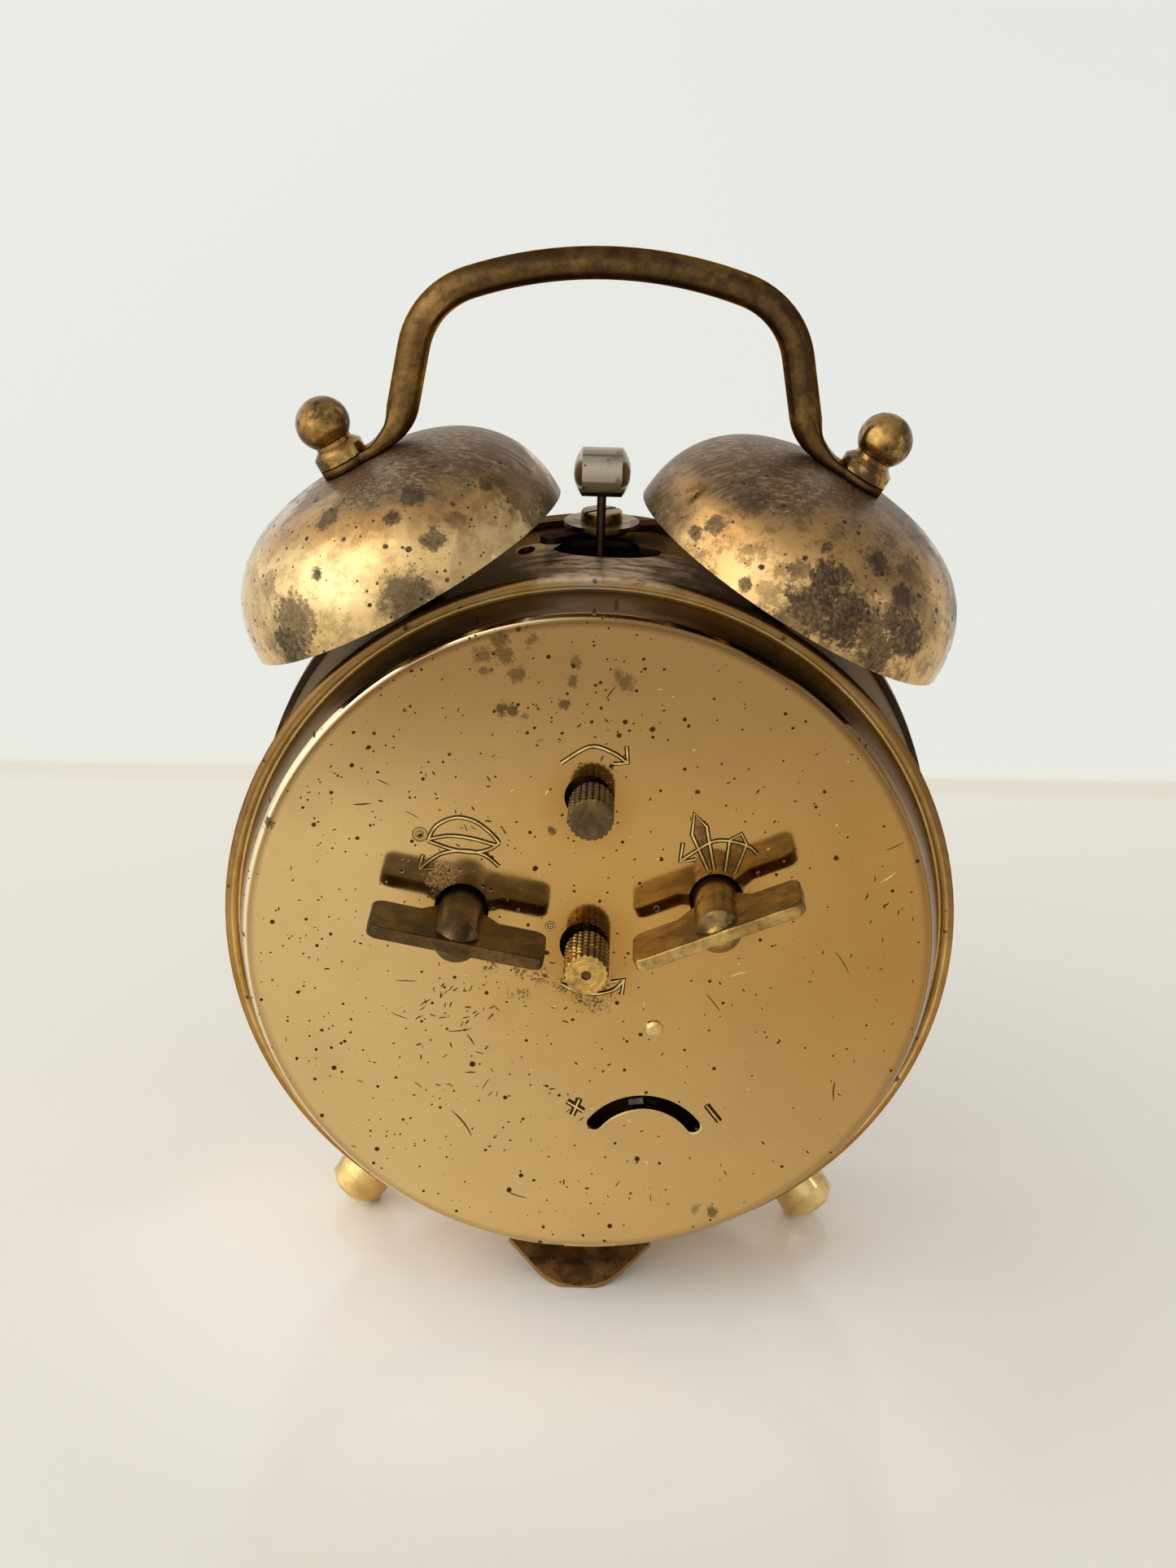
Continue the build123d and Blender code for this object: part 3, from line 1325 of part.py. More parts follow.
alarm_pinion_line = bearing_of(alarm_key_place, alarm_escape_place)
with BuildPart() as alarm_great_wheel:
    add(toothed(alarm_great_teeth, alarm_module, wheel_form, great_wheel_depth,
                great_wheel_thickness, alarm_key_place, alarm_pinion_line))
    add(round_bar(winding_hole, great_wheel_depth - cut_over,
                  great_wheel_depth + great_wheel_thickness + cut_over, alarm_key_place),
        mode=Mode.SUBTRACT)
alarm_great_wheel.part.label = "alarm_great_wheel"
export_step(alarm_great_wheel.part, "parts/alarm_great_wheel.step")


def meshed(line, teeth):
    """The tooth angle of a pinion whose wheel has a tooth on the line between them."""
    return line + half_turn + half_turn / teeth


def wheel_windows(module, teeth, depth, thickness, place):
    """The openings of a spoked wheel."""
    root = module * teeth / 2 - wheel_dedendum_share * module
    return windows(root * rim_share, hub_radius, depth, thickness, place)


# Centre wheel, loose on the centre arbor, with its pinion at the rear
third_line = bearing_of(centre_place, third_place)
pinion_start = great_wheel_depth - leaf_overhang
pinion_length = great_wheel_thickness + 2 * leaf_overhang
with BuildPart() as centre_wheel:
    add(toothed(centre_wheel_teeth, centre_module, wheel_form, centre_wheel_depth,
                wheel_thickness, centre_place, third_line))
    add(wheel_windows(centre_module, centre_wheel_teeth, centre_wheel_depth, wheel_thickness,
                      centre_place), mode=Mode.SUBTRACT)
    add(toothed(centre_pinion_leaves, great_module, pinion_form, pinion_start, pinion_length,
                centre_place, meshed(great_pinion_line, centre_pinion_leaves)))
    add(round_bar(clutch_hub_radius, plate_gap_start + free_gap, front_plate_depth - free_gap))
    add(round_bar(centre_hole, rear_plate_depth, front_plate_front), mode=Mode.SUBTRACT)
centre_wheel.part.label = "centre_wheel"
export_step(centre_wheel.part, "parts/centre_wheel.step")


def train_wheel(place, wheel_teeth, wheel_module, wheel_depth, wheel_angle,
                leaves, leaf_module, driver_depth, leaf_angle):
    """A wheel and its pinion on one arbor between the plates."""
    with BuildPart() as train:
        add(toothed(wheel_teeth, wheel_module, wheel_form, wheel_depth, wheel_thickness,
                    place, wheel_angle))
        add(wheel_windows(wheel_module, wheel_teeth, wheel_depth, wheel_thickness, place),
            mode=Mode.SUBTRACT)
        add(toothed(leaves, leaf_module, pinion_form, driver_depth - leaf_overhang,
                    wheel_thickness + 2 * leaf_overhang, place, leaf_angle))
        add(round_bar(arbor_radius, rear_plate_depth + pivot_end_gap,
                      front_plate_front - pivot_end_gap, place))
    return train.part


fourth_line = bearing_of(third_place, fourth_place)
with BuildPart() as third_wheel:
    add(train_wheel(third_place, third_wheel_teeth, third_module, third_wheel_depth,
                    fourth_line, third_pinion_leaves, centre_module, centre_wheel_depth,
                    meshed(third_line, third_pinion_leaves)))
third_wheel.part.label = "third_wheel"
export_step(third_wheel.part, "parts/third_wheel.step")

escape_line = bearing_of(fourth_place, escape_place)
with BuildPart() as fourth_wheel:
    add(train_wheel(fourth_place, fourth_wheel_teeth, fourth_module, fourth_wheel_depth,
                    escape_line, fourth_pinion_leaves, third_module, third_wheel_depth,
                    meshed(fourth_line, fourth_pinion_leaves)))
fourth_wheel.part.label = "fourth_wheel"
export_step(fourth_wheel.part, "parts/fourth_wheel.step")

with BuildPart() as escape_wheel:
    add(pointed(escape_teeth, escape_radius, escape_root_share, escape_lean_share, escape_depth,
                escape_thickness, escape_place))
    add(toothed(escape_pinion_leaves, fourth_module, pinion_form,
                fourth_wheel_depth - leaf_overhang, wheel_thickness + 2 * leaf_overhang,
                escape_place, meshed(escape_line, escape_pinion_leaves)))
    add(round_bar(arbor_radius, rear_plate_depth + pivot_end_gap,
                  front_plate_front - pivot_end_gap, escape_place))
escape_wheel.part.label = "escape_wheel"
export_step(escape_wheel.part, "parts/escape_wheel.step")

# Pallet fork with two pins beside the escape wheel
pin_distance = escape_radius + pallet_pin_gap + pallet_pin_radius
pin_places = [polar(escape_place, pin_distance, pallet_line + side * pallet_pin_angle)
              for side in (-1, 1)]
fork_length = gap_between(pallet_place, balance_place) - roller_radius - 2 * free_gap
fork_end = polar(pallet_place, fork_length - pallet_arm_width / 2, pallet_line)
with BuildPart() as pallet_fork:
    for pin_place in pin_places:
        add(link(pallet_place, pin_place, pallet_arm_width, pallet_depth, pallet_thickness))
        add(round_bar(pallet_pin_radius, pallet_depth,
                      escape_depth + escape_thickness + free_gap, pin_place))
    add(link(pallet_place, fork_end, pallet_arm_width, pallet_depth, pallet_thickness))
    add(round_bar(arbor_radius, rear_plate_depth + pivot_end_gap,
                  front_plate_front - pivot_end_gap, pallet_place))
pallet_fork.part.label = "pallet_fork"
export_step(pallet_fork.part, "parts/pallet_fork.step")

# Balance wheel on its staff, which carries the roller and the hairspring collet
balance_end = balance_depth + balance_thickness
with BuildPart() as balance_wheel:
    add(round_bar(balance_radius, balance_depth, balance_end, balance_place))
    add(windows(balance_radius - balance_rim_width, balance_hub_radius, balance_depth,
                balance_thickness, balance_place), mode=Mode.SUBTRACT)
    add(round_bar(arbor_radius + press_gap, balance_depth - cut_over, balance_end + cut_over,
                  balance_place), mode=Mode.SUBTRACT)
balance_wheel.part.label = "balance_wheel"
export_step(balance_wheel.part, "parts/balance_wheel.step")

with BuildPart() as balance_staff:
    add(round_bar(arbor_radius, rear_bearing_end - bearing_cup + running_gap,
                  front_bearing_start + bearing_cup - running_gap, balance_place))
    add(round_bar(roller_radius, pallet_depth, pallet_depth + pallet_thickness, balance_place))
    add(round_bar(collet_radius, hairspring_depth - free_gap,
                  hairspring_depth + hairspring_height + free_gap, balance_place))
balance_staff.part.label = "balance_staff"
export_step(balance_staff.part, "parts/balance_staff.step")

# Regulator: a ring round the rear balance bearing, an arm and a bent tab in the cover's slot
regulator_angle = quarter_turn - regulator_rest_angle
regulator_hole = bearing_radius + running_gap
regulator_tip = polar(balance_place, regulator_slot_radius, regulator_angle)
with BuildPart() as regulator_lever:
    with BuildSketch(across(regulator_depth, balance_place, regulator_angle)):
        Circle(regulator_hole + regulator_ring_width)
        with Locations((regulator_slot_radius / 2, 0)):
            Rectangle(regulator_slot_radius + regulator_tab_thickness, regulator_arm_width)
        Circle(regulator_hole, mode=Mode.SUBTRACT)
    extrude(amount=regulator_thickness)
    with BuildSketch(across(regulator_tab_recess, regulator_tip, regulator_angle)):
        Rectangle(regulator_tab_thickness, regulator_arm_width)
    extrude(amount=regulator_depth - regulator_tab_recess)
regulator_lever.part.label = "regulator_lever"
export_step(regulator_lever.part, "parts/regulator_lever.step")

# Alarm escape wheel and the hammer with its verge
with BuildPart() as alarm_escape_wheel:
    add(pointed(alarm_escape_teeth, alarm_escape_radius, escape_root_share, escape_lean_share,
                alarm_escape_depth, alarm_escape_thickness, alarm_escape_place))
    add(toothed(alarm_escape_leaves, alarm_module, pinion_form, pinion_start, pinion_length,
                alarm_escape_place, meshed(alarm_pinion_line, alarm_escape_leaves)))
    add(round_bar(arbor_radius, rear_plate_depth + pivot_end_gap,
                  front_plate_front - pivot_end_gap, alarm_escape_place))
alarm_escape_wheel.part.label = "alarm_escape_wheel"
export_step(alarm_escape_wheel.part, "parts/alarm_escape_wheel.step")

verge_line = bearing_of(alarm_escape_place, hammer_place)
pad_places = [polar(alarm_escape_place, alarm_escape_radius + verge_gap,
                    verge_line + side * verge_pad_angle) for side in (-1, 1)]
rod_start = hammer_hub_radius / 2
hammer_gap = hammer_centre_height - hammer_pivot_height
with BuildPart() as hammer_arbor:
    for pad_place in pad_places:
        add(link(hammer_place, pad_place, verge_arm_width, verge_depth, verge_thickness))
    add(round_bar(hammer_arbor_radius, rear_plate_depth + pivot_end_gap,
                  front_plate_front - pivot_end_gap, hammer_place))
    add(round_bar(hammer_hub_radius, bell_depth - hammer_hub_length / 2,
                  bell_depth + hammer_hub_length / 2, hammer_place))
    with BuildSketch(Plane.XY.offset(axis_height + hammer_pivot_height + rod_start)):
        with Locations((0, rear_y - bell_depth)):
            Circle(hammer_rod_radius + press_gap)
    extrude(amount=hammer_hub_radius, mode=Mode.SUBTRACT)
hammer_arbor.part.label = "hammer_arbor"
export_step(hammer_arbor.part, "parts/hammer_arbor.step")

rod_end = hammer_gap - hammer_radius / 2
with BuildPart() as hammer_rod:
    with BuildSketch(Plane.XY.offset(axis_height + hammer_pivot_height
                                     + rod_start + press_gap)):
        with Locations((0, rear_y - bell_depth)):
            Circle(hammer_rod_radius)
    extrude(amount=rod_end - rod_start - 2 * press_gap)
hammer_rod.part.label = "hammer_rod"
export_step(hammer_rod.part, "parts/hammer_rod.step")

head_half = hammer_body_length / 2
dome_radius = (hammer_radius ** 2 + hammer_dome ** 2) / (2 * hammer_dome)
dome_turn = math.degrees(math.asin(hammer_radius / dome_radius))
head_line = Plane(origin=(0, rear_y - bell_depth, axis_height + hammer_centre_height),
                  x_dir=(1, 0, 0), z_dir=(0, -1, 0))
with BuildPart() as hammer_head:
    with BuildSketch(head_line):
        with BuildLine():
            Line((-head_half - hammer_dome, 0), (head_half + hammer_dome, 0))
            CenterArc((head_half + hammer_dome - dome_radius, 0), dome_radius, 0, dome_turn)
            Line((head_half, hammer_radius), (-head_half, hammer_radius))
            CenterArc((dome_radius - head_half - hammer_dome, 0), dome_radius, half_turn,
                      -dome_turn)
        make_face()
    revolve(axis=Axis(head_line.origin, (1, 0, 0)))
    with BuildSketch(Plane.XY.offset(axis_height + hammer_pivot_height + rod_end)):
        with Locations((0, rear_y - bell_depth)):
            Circle(hammer_rod_radius + press_gap)
    extrude(amount=-hammer_radius, mode=Mode.SUBTRACT)
hammer_head.part.label = "hammer_head"
export_step(hammer_head.part, "parts/hammer_head.step")

# Motion work: centre arbor with its cannon pinion, minute wheel, hour wheel
minute_line = bearing_of(centre_place, minute_wheel_place)
centre_arbor_start = press_gap - knob_gap - knob_socket_length
minute_hand_end = minute_hand_depth + hand_thickness
with BuildPart() as centre_arbor:
    add(round_bar(centre_arbor_radius, centre_arbor_start, minute_hand_end + free_gap))
    add(toothed(cannon_leaves, cannon_module, pinion_form, cannon_depth, cannon_length,
                centre_place, minute_line))
centre_arbor.part.label = "centre_arbor"
export_step(centre_arbor.part, "parts/centre_arbor.step")

with BuildPart() as minute_wheel:
    add(toothed(minute_wheel_teeth, cannon_module, wheel_form, minute_wheel_depth,
                wheel_thickness, minute_wheel_place,
                minute_line + half_turn + half_turn / minute_wheel_teeth))
    add(toothed(minute_pinion_leaves, hour_module, pinion_form, minute_wheel_depth,
                minute_pinion_end_depth - minute_wheel_depth, minute_wheel_place,
                minute_line + half_turn))
    add(round_bar(arbor_radius, front_plate_depth + pivot_end_gap, minute_pinion_end_depth,
                  minute_wheel_place))
minute_wheel.part.label = "minute_wheel"
export_step(minute_wheel.part, "parts/minute_wheel.step")

hour_hand_end = hour_hand_depth + hand_thickness
with BuildPart() as hour_wheel:
    add(toothed(hour_wheel_teeth, hour_module, wheel_form, hour_wheel_depth, wheel_thickness,
                centre_place, minute_line + half_turn / hour_wheel_teeth))
    add(round_bar(hour_pipe_radius, hour_wheel_depth, hour_hand_end))
    add(round_bar(centre_hole, hour_wheel_depth - cut_over, hour_hand_end + cut_over),
        mode=Mode.SUBTRACT)
hour_wheel.part.label = "hour_wheel"
export_step(hour_wheel.part, "parts/hour_wheel.step")

# Alarm setting: arbor with its pinion, and the alarm wheel on its pipe
setting_line = bearing_of(centre_place, alarm_knob_place)
alarm_wheel_end = alarm_wheel_depth + alarm_wheel_thickness
with BuildPart() as alarm_set_arbor:
    add(round_bar(alarm_arbor_radius, centre_arbor_start, alarm_wheel_end, alarm_knob_place))
    add(toothed(alarm_pinion_leaves, setting_module, pinion_form, alarm_wheel_depth,
                alarm_wheel_thickness, alarm_knob_place,
                meshed(setting_line, alarm_pinion_leaves)))
alarm_set_arbor.part.label = "alarm_set_arbor"
export_step(alarm_set_arbor.part, "parts/alarm_set_arbor.step")

alarm_hand_end = alarm_hand_depth + hand_thickness
with BuildPart() as alarm_wheel:
    add(toothed(alarm_wheel_teeth, setting_module, wheel_form, alarm_wheel_depth,
                alarm_wheel_thickness, centre_place, setting_line))
    add(round_bar(alarm_pipe_radius, alarm_wheel_depth, alarm_hand_end))
    add(round_bar(hour_pipe_radius + running_gap, alarm_wheel_depth - cut_over,
                  alarm_hand_end + cut_over), mode=Mode.SUBTRACT)
alarm_wheel.part.label = "alarm_wheel"
export_step(alarm_wheel.part, "parts/alarm_wheel.step")


# Hands
def hand(length, width, angle, depth, bore):
    """A swelling pointed hand with a round boss and a short tail."""
    tail = length * counter_tail_share
    with BuildPart() as pointer:
        with BuildSketch(across(depth, centre_place, quarter_turn - angle)):
            with BuildLine():
                Polyline((-tail, width / 2), (0, hand_neck_width / 2),
                         (length * hand_swell_share, width / 2), (length, hand_tip_width / 2),
                         (length, -hand_tip_width / 2),
                         (length * hand_swell_share, -width / 2), (0, -hand_neck_width / 2),
                         (-tail, -width / 2), close=True)
            make_face()
            Circle(hand_boss_radius)
            Circle(bore + press_gap, mode=Mode.SUBTRACT)
        extrude(amount=hand_thickness)
    return pointer.part


with BuildPart() as hour_hand:
    add(hand(hour_hand_length, hour_hand_width, hour_hand_angle, hour_hand_depth,
             hour_pipe_radius))
hour_hand.part.label = "hour_hand"
export_step(hour_hand.part, "parts/hour_hand.step")

with BuildPart() as minute_hand:
    add(hand(minute_hand_length, minute_hand_width, minute_hand_angle, minute_hand_depth,
             centre_arbor_radius))
minute_hand.part.label = "minute_hand"
export_step(minute_hand.part, "parts/minute_hand.step")

with BuildPart() as alarm_hand:
    add(hand(alarm_hand_length, alarm_hand_width, alarm_hand_angle, alarm_hand_depth,
             alarm_pipe_radius))
alarm_hand.part.label = "alarm_hand"
export_step(alarm_hand.part, "parts/alarm_hand.step")
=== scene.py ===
import bpy
import bmesh
import math
import random
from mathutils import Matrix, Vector


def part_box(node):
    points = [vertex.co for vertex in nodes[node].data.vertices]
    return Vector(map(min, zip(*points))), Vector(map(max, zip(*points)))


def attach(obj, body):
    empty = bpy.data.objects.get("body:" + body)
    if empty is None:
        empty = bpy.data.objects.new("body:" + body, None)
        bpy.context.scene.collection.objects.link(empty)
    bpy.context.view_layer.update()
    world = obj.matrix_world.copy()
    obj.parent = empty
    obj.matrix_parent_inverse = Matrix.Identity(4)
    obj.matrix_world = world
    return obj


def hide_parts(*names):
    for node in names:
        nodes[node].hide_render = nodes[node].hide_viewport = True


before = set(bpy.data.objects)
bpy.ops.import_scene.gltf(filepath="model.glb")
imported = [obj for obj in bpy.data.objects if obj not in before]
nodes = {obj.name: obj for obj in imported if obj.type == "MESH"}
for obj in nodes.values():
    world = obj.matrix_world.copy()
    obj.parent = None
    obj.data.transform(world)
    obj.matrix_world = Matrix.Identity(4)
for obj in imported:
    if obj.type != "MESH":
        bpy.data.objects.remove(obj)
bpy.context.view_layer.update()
scene = bpy.context.scene
scene.view_settings.view_transform = "Standard"
print("frame loaded:", len(nodes), "pieces")

mm = 0.001

# places read from the frame
coverLow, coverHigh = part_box("rear_cover")
coverY = coverHigh.y
dialCentreZ = (coverLow.z + coverHigh.z) / 2
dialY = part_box("dial_plate")[0].y


def onCover(right, up, proud=0.0):
    # a place on the cover in mm, right and up as seen from behind the clock
    return Vector((-right * mm, coverY + proud * mm, dialCentreZ + up * mm))


def onDial(right, up, proud=0.0):
    # a place on the dial in mm, as seen from the front
    return Vector((right * mm, dialY - proud * mm, dialCentreZ + up * mm))


def tone(red, green, blue):
    # linear colour from the usual 0 to 255 values
    shares = [value / 255 for value in (red, green, blue)]
    return tuple(s / 12.92 if s <= 0.04045 else ((s + 0.055) / 1.055) ** 2.4 for s in shares) + (1,)


class Shader:
    # a material or a world, with short calls that add its nodes
    def __init__(self, owner):
        self.material = owner
        owner.use_nodes = True
        self.tree = owner.node_tree
        self.surface = self.tree.nodes.get("Principled BSDF")
        self.coords = self.add("ShaderNodeTexCoord")

    def add(self, kind, **settings):
        node = self.tree.nodes.new(kind)
        for key, value in settings.items():
            setattr(node, key, value)
        return node

    def join(self, source, target):
        if isinstance(source, (int, float, tuple, Vector)):
            target.default_value = source
        else:
            self.tree.links.new(source, target)

    def axes(self, source):
        # the three parts of a coordinate
        parts = self.add("ShaderNodeSeparateXYZ")
        self.join(self.coords.outputs[source], parts.inputs[0])
        return parts.outputs

    def flat(self):
        # object coordinates pressed into the plane of the cover
        node = self.add("ShaderNodeVectorMath", operation="MULTIPLY")
        self.join(self.coords.outputs["Object"], node.inputs[0])
        node.inputs[1].default_value = (1, 0, 1)
        return node.outputs[0]

    def math(self, operation, first, second=0.0, third=0.0, clamp=False):
        node = self.add("ShaderNodeMath", operation=operation, use_clamp=clamp)
        for slot, value in enumerate((first, second, third)):
            self.join(value, node.inputs[slot])
        return node.outputs[0]

    def product(self, first, second):
        return self.math("MULTIPLY", first, second)

    def ramp(self, value, low, high, start=0.0, end=1.0):
        # smooth change from start to end while value goes from low to high
        node = self.add("ShaderNodeMapRange", interpolation_type="SMOOTHSTEP")
        for slot, amount in enumerate((value, low, high, start, end)):
            self.join(amount, node.inputs[slot])
        return node.outputs[0]

    def rampMm(self, value, low, high, start=0.0, end=1.0):
        # the same for a distance, its limits given in mm
        return self.ramp(value, low * mm, high * mm, start, end)

    def blend(self, share, first, second):
        node = self.add("ShaderNodeMix", data_type="RGBA")
        self.join(share, node.inputs[0])
        self.join(first, node.inputs[6])
        self.join(second, node.inputs[7])
        return node.outputs[2]

    def noise(self, size, detail=4.0, rough=0.55, twist=0.0, vector=None):
        # size is the width of a patch in mm
        node = self.add("ShaderNodeTexNoise")
        self.join(vector or self.coords.outputs["Object"], node.inputs["Vector"])
        node.inputs["Scale"].default_value = 1 / (size * mm)
        node.inputs["Detail"].default_value = detail
        node.inputs["Roughness"].default_value = rough
        node.inputs["Distortion"].default_value = twist
        return node.outputs[0]

    def stretched(self, turn, stretch):
        # object coordinates turned about Y and drawn out along one way
        node = self.add("ShaderNodeMapping", vector_type="TEXTURE")
        self.join(self.coords.outputs["Object"], node.inputs["Vector"])
        node.inputs["Rotation"].default_value = (0, math.radians(turn), 0)
        node.inputs["Scale"].default_value = (stretch, 1, 1)
        return node.outputs[0]

    def specks(self, size, radius, share, vector=None, ragged=0.35, density=None):
        # scattered spots: size is the spacing in mm, radius the spot as a share of it
        cells = self.add("ShaderNodeTexVoronoi", feature="F1")
        self.join(vector or self.coords.outputs["Object"], cells.inputs["Vector"])
        cells.inputs["Scale"].default_value = 1 / (size * mm)
        parts = self.add("ShaderNodeSeparateColor")
        self.join(cells.outputs["Color"], parts.inputs[0])
        if density is not None:
            share = self.product(density, share)
        kept = self.math("LESS_THAN", parts.outputs[0], share)
        wobble = self.product(self.noise(size * 0.35, 2.0), ragged)
        reach = self.math("ADD", cells.outputs["Distance"], wobble)
        edge = self.math("MULTIPLY_ADD", parts.outputs[1], radius, (radius + ragged) / 2)
        spot = self.ramp(reach, self.product(edge, 0.72), edge, 1.0, 0.0)
        return self.product(spot, kept)

    def distance(self, place, vector=None):
        # how far each point lies from one place
        node = self.add("ShaderNodeVectorMath", operation="DISTANCE")
        self.join(vector or self.coords.outputs["Object"], node.inputs[0])
        node.inputs[1].default_value = place
        return node.outputs["Value"]

    def stain(self, centre, radius, depth, ragged, loose=0.3, core=0.25):
        # a round stain about one place, its soft edge broken up by a noise
        loose *= radius * mm
        reach = self.math("ADD", self.distance(centre), self.ramp(ragged, 0.3, 0.7, -loose, loose))
        return self.ramp(reach, radius * core * mm, radius * mm, depth, 0.0)

    def most(self, values):
        # the largest of several values
        result = values[0]
        for value in values[1:]:
            result = self.math("MAXIMUM", result, value)
        return result

    def bump(self, height, depth, distance=0.1, under=None):
        node = self.add("ShaderNodeBump")
        node.inputs["Strength"].default_value = depth
        node.inputs["Distance"].default_value = distance * mm
        self.join(height, node.inputs["Height"])
        if under is not None:
            self.join(under, node.inputs["Normal"])
        return node.outputs[0]


def newMaterial(name):
    return Shader(bpy.data.materials.new(name))


# where rubbing and painted light start and end, on the facing of a surface or in mm to the left:
# faces turned to the rear are partly rubbed and partly a painted highlight, faces turned to the
# cover take painted shade, the left side and the crests turned to the rear take painted light
brassWear = {"upLoose": 0.22, "rearFromTo": (0.7, 0.95), "hiddenShadeFromTo": (-0.7, -0.3),
             "hiddenPaintedShade": 0.9, "leftFromTo": (4.0, 24.0), "crestSheenFromTo": (0.90, 0.99)}


def brassDullness(shader, facing, patches, look):
    # how dull each place is: patches and upward faces, less so where the piece is rubbed, less so
    # on the left and on faces turned to the rear as painted light, more so on faces turned to the
    # cover as painted shade
    dull = shader.product(shader.ramp(patches, look["patchFrom"], look["patchTo"]),
                          look["patchAmount"])
    if look.get("upAmount"):
        loose = brassWear["upLoose"]
        upward = shader.math("ADD", shader.ramp(facing[2], look["upFrom"], look["upTo"]),
                             shader.ramp(patches, 0.35, 0.65, -loose, loose))
        upward = shader.math("MULTIPLY", upward, look["upAmount"], clamp=True)
        dull = shader.math("MAXIMUM", dull, upward)
    # painted light: the piece is less dull toward the left, the side the window light comes from
    if look.get("leftPaintedLight"):
        paintedLightToLeft = shader.rampMm(shader.axes("Object")[0], *brassWear["leftFromTo"], 1.0,
                               1.0 - look["leftPaintedLight"])
        dull = shader.product(dull, paintedLightToLeft)
    # faces turned to the rear are cleaner, partly rubbed and partly a painted highlight; faces
    # turned to the cover are dulled as painted shade
    if look.get("rearWornAndLit"):
        rearward = shader.ramp(facing[1], *brassWear["rearFromTo"], 1.0, 1.0 - look["rearWornAndLit"])
        hiddenShade = shader.ramp(facing[1], *brassWear["hiddenShadeFromTo"], brassWear["hiddenPaintedShade"], 0.0)
        dull = shader.math("MAXIMUM", shader.product(dull, rearward), hiddenShade)
    return dull


def brassMaterial(name, look):
    # brass that goes from clean to dull, with spots, fine scratches and pits, and where asked a
    # painted sheen on crests turned to the rear
    shader = newMaterial(name)
    surface = shader.surface
    facing = shader.axes("Normal")
    patches = shader.noise(look["patchSize"], 7.0, 0.62, 0.4)
    dull = brassDullness(shader, facing, patches, look)
    clean = shader.blend(shader.ramp(shader.noise(look["patchSize"] * 2.2, 3.0), 0.35, 0.65),
                         look["clean"], look["warm"])
    colour = shader.blend(dull, clean, look["dull"])
    # painted sheen: golden streaks on faces turned to the rear stand in for highlights along the
    # rod
    if look.get("crestSheen"):
        crest = shader.ramp(facing[1], *brassWear["crestSheenFromTo"], 0.0, look["crestSheen"])
        broken = shader.ramp(shader.noise(3.0, 5.0, 0.6), 0.36, 0.56)
        colour = shader.blend(shader.product(crest, broken), colour, look["rubbed"])
    mottle = shader.noise(look["mottleSize"], 6.0, 0.7)
    colour = shader.blend(shader.ramp(mottle, 0.42, 0.68, 0.0, look["mottle"]), colour,
                          look["stain"])
    if look.get("spotShare"):
        spots = shader.specks(look["spotSize"], look["spotRadius"], look["spotShare"])
        small = shader.specks(look["spotSize"] * 0.3, look["spotRadius"], look["spotShare"])
        spots = shader.math("MAXIMUM", spots, shader.product(small, 0.8))
        spots = shader.product(spots, look["spotAmount"])
        colour = shader.blend(spots, colour, look["stain"])
        dull = shader.math("MAXIMUM", dull, spots)
    # painted shade: a dark spot in the dimple at the middle of the knob's end
    if look.get("dot"):
        dot = shader.stain(*look["dot"], 0.9, mottle, 0.3, 0.7)
        colour = shader.blend(dot, colour, look["stain"])
    shader.join(colour, surface.inputs["Base Color"])
    surface.inputs["Specular Tint"].default_value = look.get("edgeTint", (1, 1, 1, 1))
    shader.join(shader.ramp(dull, 0.0, 1.0, look["roughClean"], look["roughDull"]),
                surface.inputs["Roughness"])
    shader.join(shader.ramp(dull, 0.0, 1.0, 1.0, look["dullMetal"]), surface.inputs["Metallic"])
    grain = shader.bump(shader.noise(look["grainSize"], 5.0, 0.6), look["grain"], 0.05)
    shader.join(shader.bump(patches, look["grain"] * 0.8, 0.25, grain), surface.inputs["Normal"])
    return shader.material


def plainMetal(name, look):
    # an even metal with a fine grain and a little dirt
    shader = newMaterial(name)
    surface = shader.surface
    cloud = shader.ramp(shader.noise(look["cloudSize"], 5.0, 0.6), 0.35, 0.7)
    shader.join(shader.blend(cloud, look["colour"], look["shade"]), surface.inputs["Base Color"])
    surface.inputs["Metallic"].default_value = look["metal"]
    surface.inputs["Specular Tint"].default_value = look.get("edgeTint", (1, 1, 1, 1))
    shader.join(shader.ramp(cloud, 0.0, 1.0, look["rough"], look["rough"] + 0.14),
                surface.inputs["Roughness"])
    fine = shader.noise(look["grainSize"], 4.0, 0.6)
    shader.join(shader.bump(fine, look["grain"], 0.04), surface.inputs["Normal"])
    return shader.material


def dress(material, *names):
    for name in names:
        slots = nodes[name].data.materials
        slots.clear()
        slots.append(material)


def softenEdges(width, *names):
    # small rounds on the edges of carried-over pieces
    for name in names:
        rounding = nodes[name].modifiers.new("edge round", "BEVEL")
        rounding.width = width * mm
        rounding.segments = 2
        rounding.limit_method = "ANGLE"
        rounding.angle_limit = math.radians(35)


def addPiece(name, points, faces, material, body, smooth=None):
    # a new mesh that rides on one body; smooth is the angle up to which its edges are soft
    mesh = bpy.data.meshes.new(name)
    mesh.from_pydata([tuple(point) for point in points], [], faces)
    shell = bmesh.new()
    shell.from_mesh(mesh)
    bmesh.ops.recalc_face_normals(shell, faces=shell.faces)
    shell.to_mesh(mesh)
    shell.free()
    mesh.materials.append(material)
    if smooth:
        mesh.shade_smooth()
        mesh.set_sharp_from_angle(angle=math.radians(smooth))
    piece = bpy.data.objects.new(name, mesh)
    scene.collection.objects.link(piece)
    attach(piece, body)
    return piece


def ringFaces(rings, around):
    # the sides between rings of points that follow one another, closed at both ends
    faces = []
    for ring in range(rings - 1):
        for step in range(around):
            ahead = (step + 1) % around
            faces.append([ring * around + step, ring * around + ahead,
                          (ring + 1) * around + ahead, (ring + 1) * around + step])
    return faces + [list(range(around)), list(range((rings - 1) * around, rings * around))]


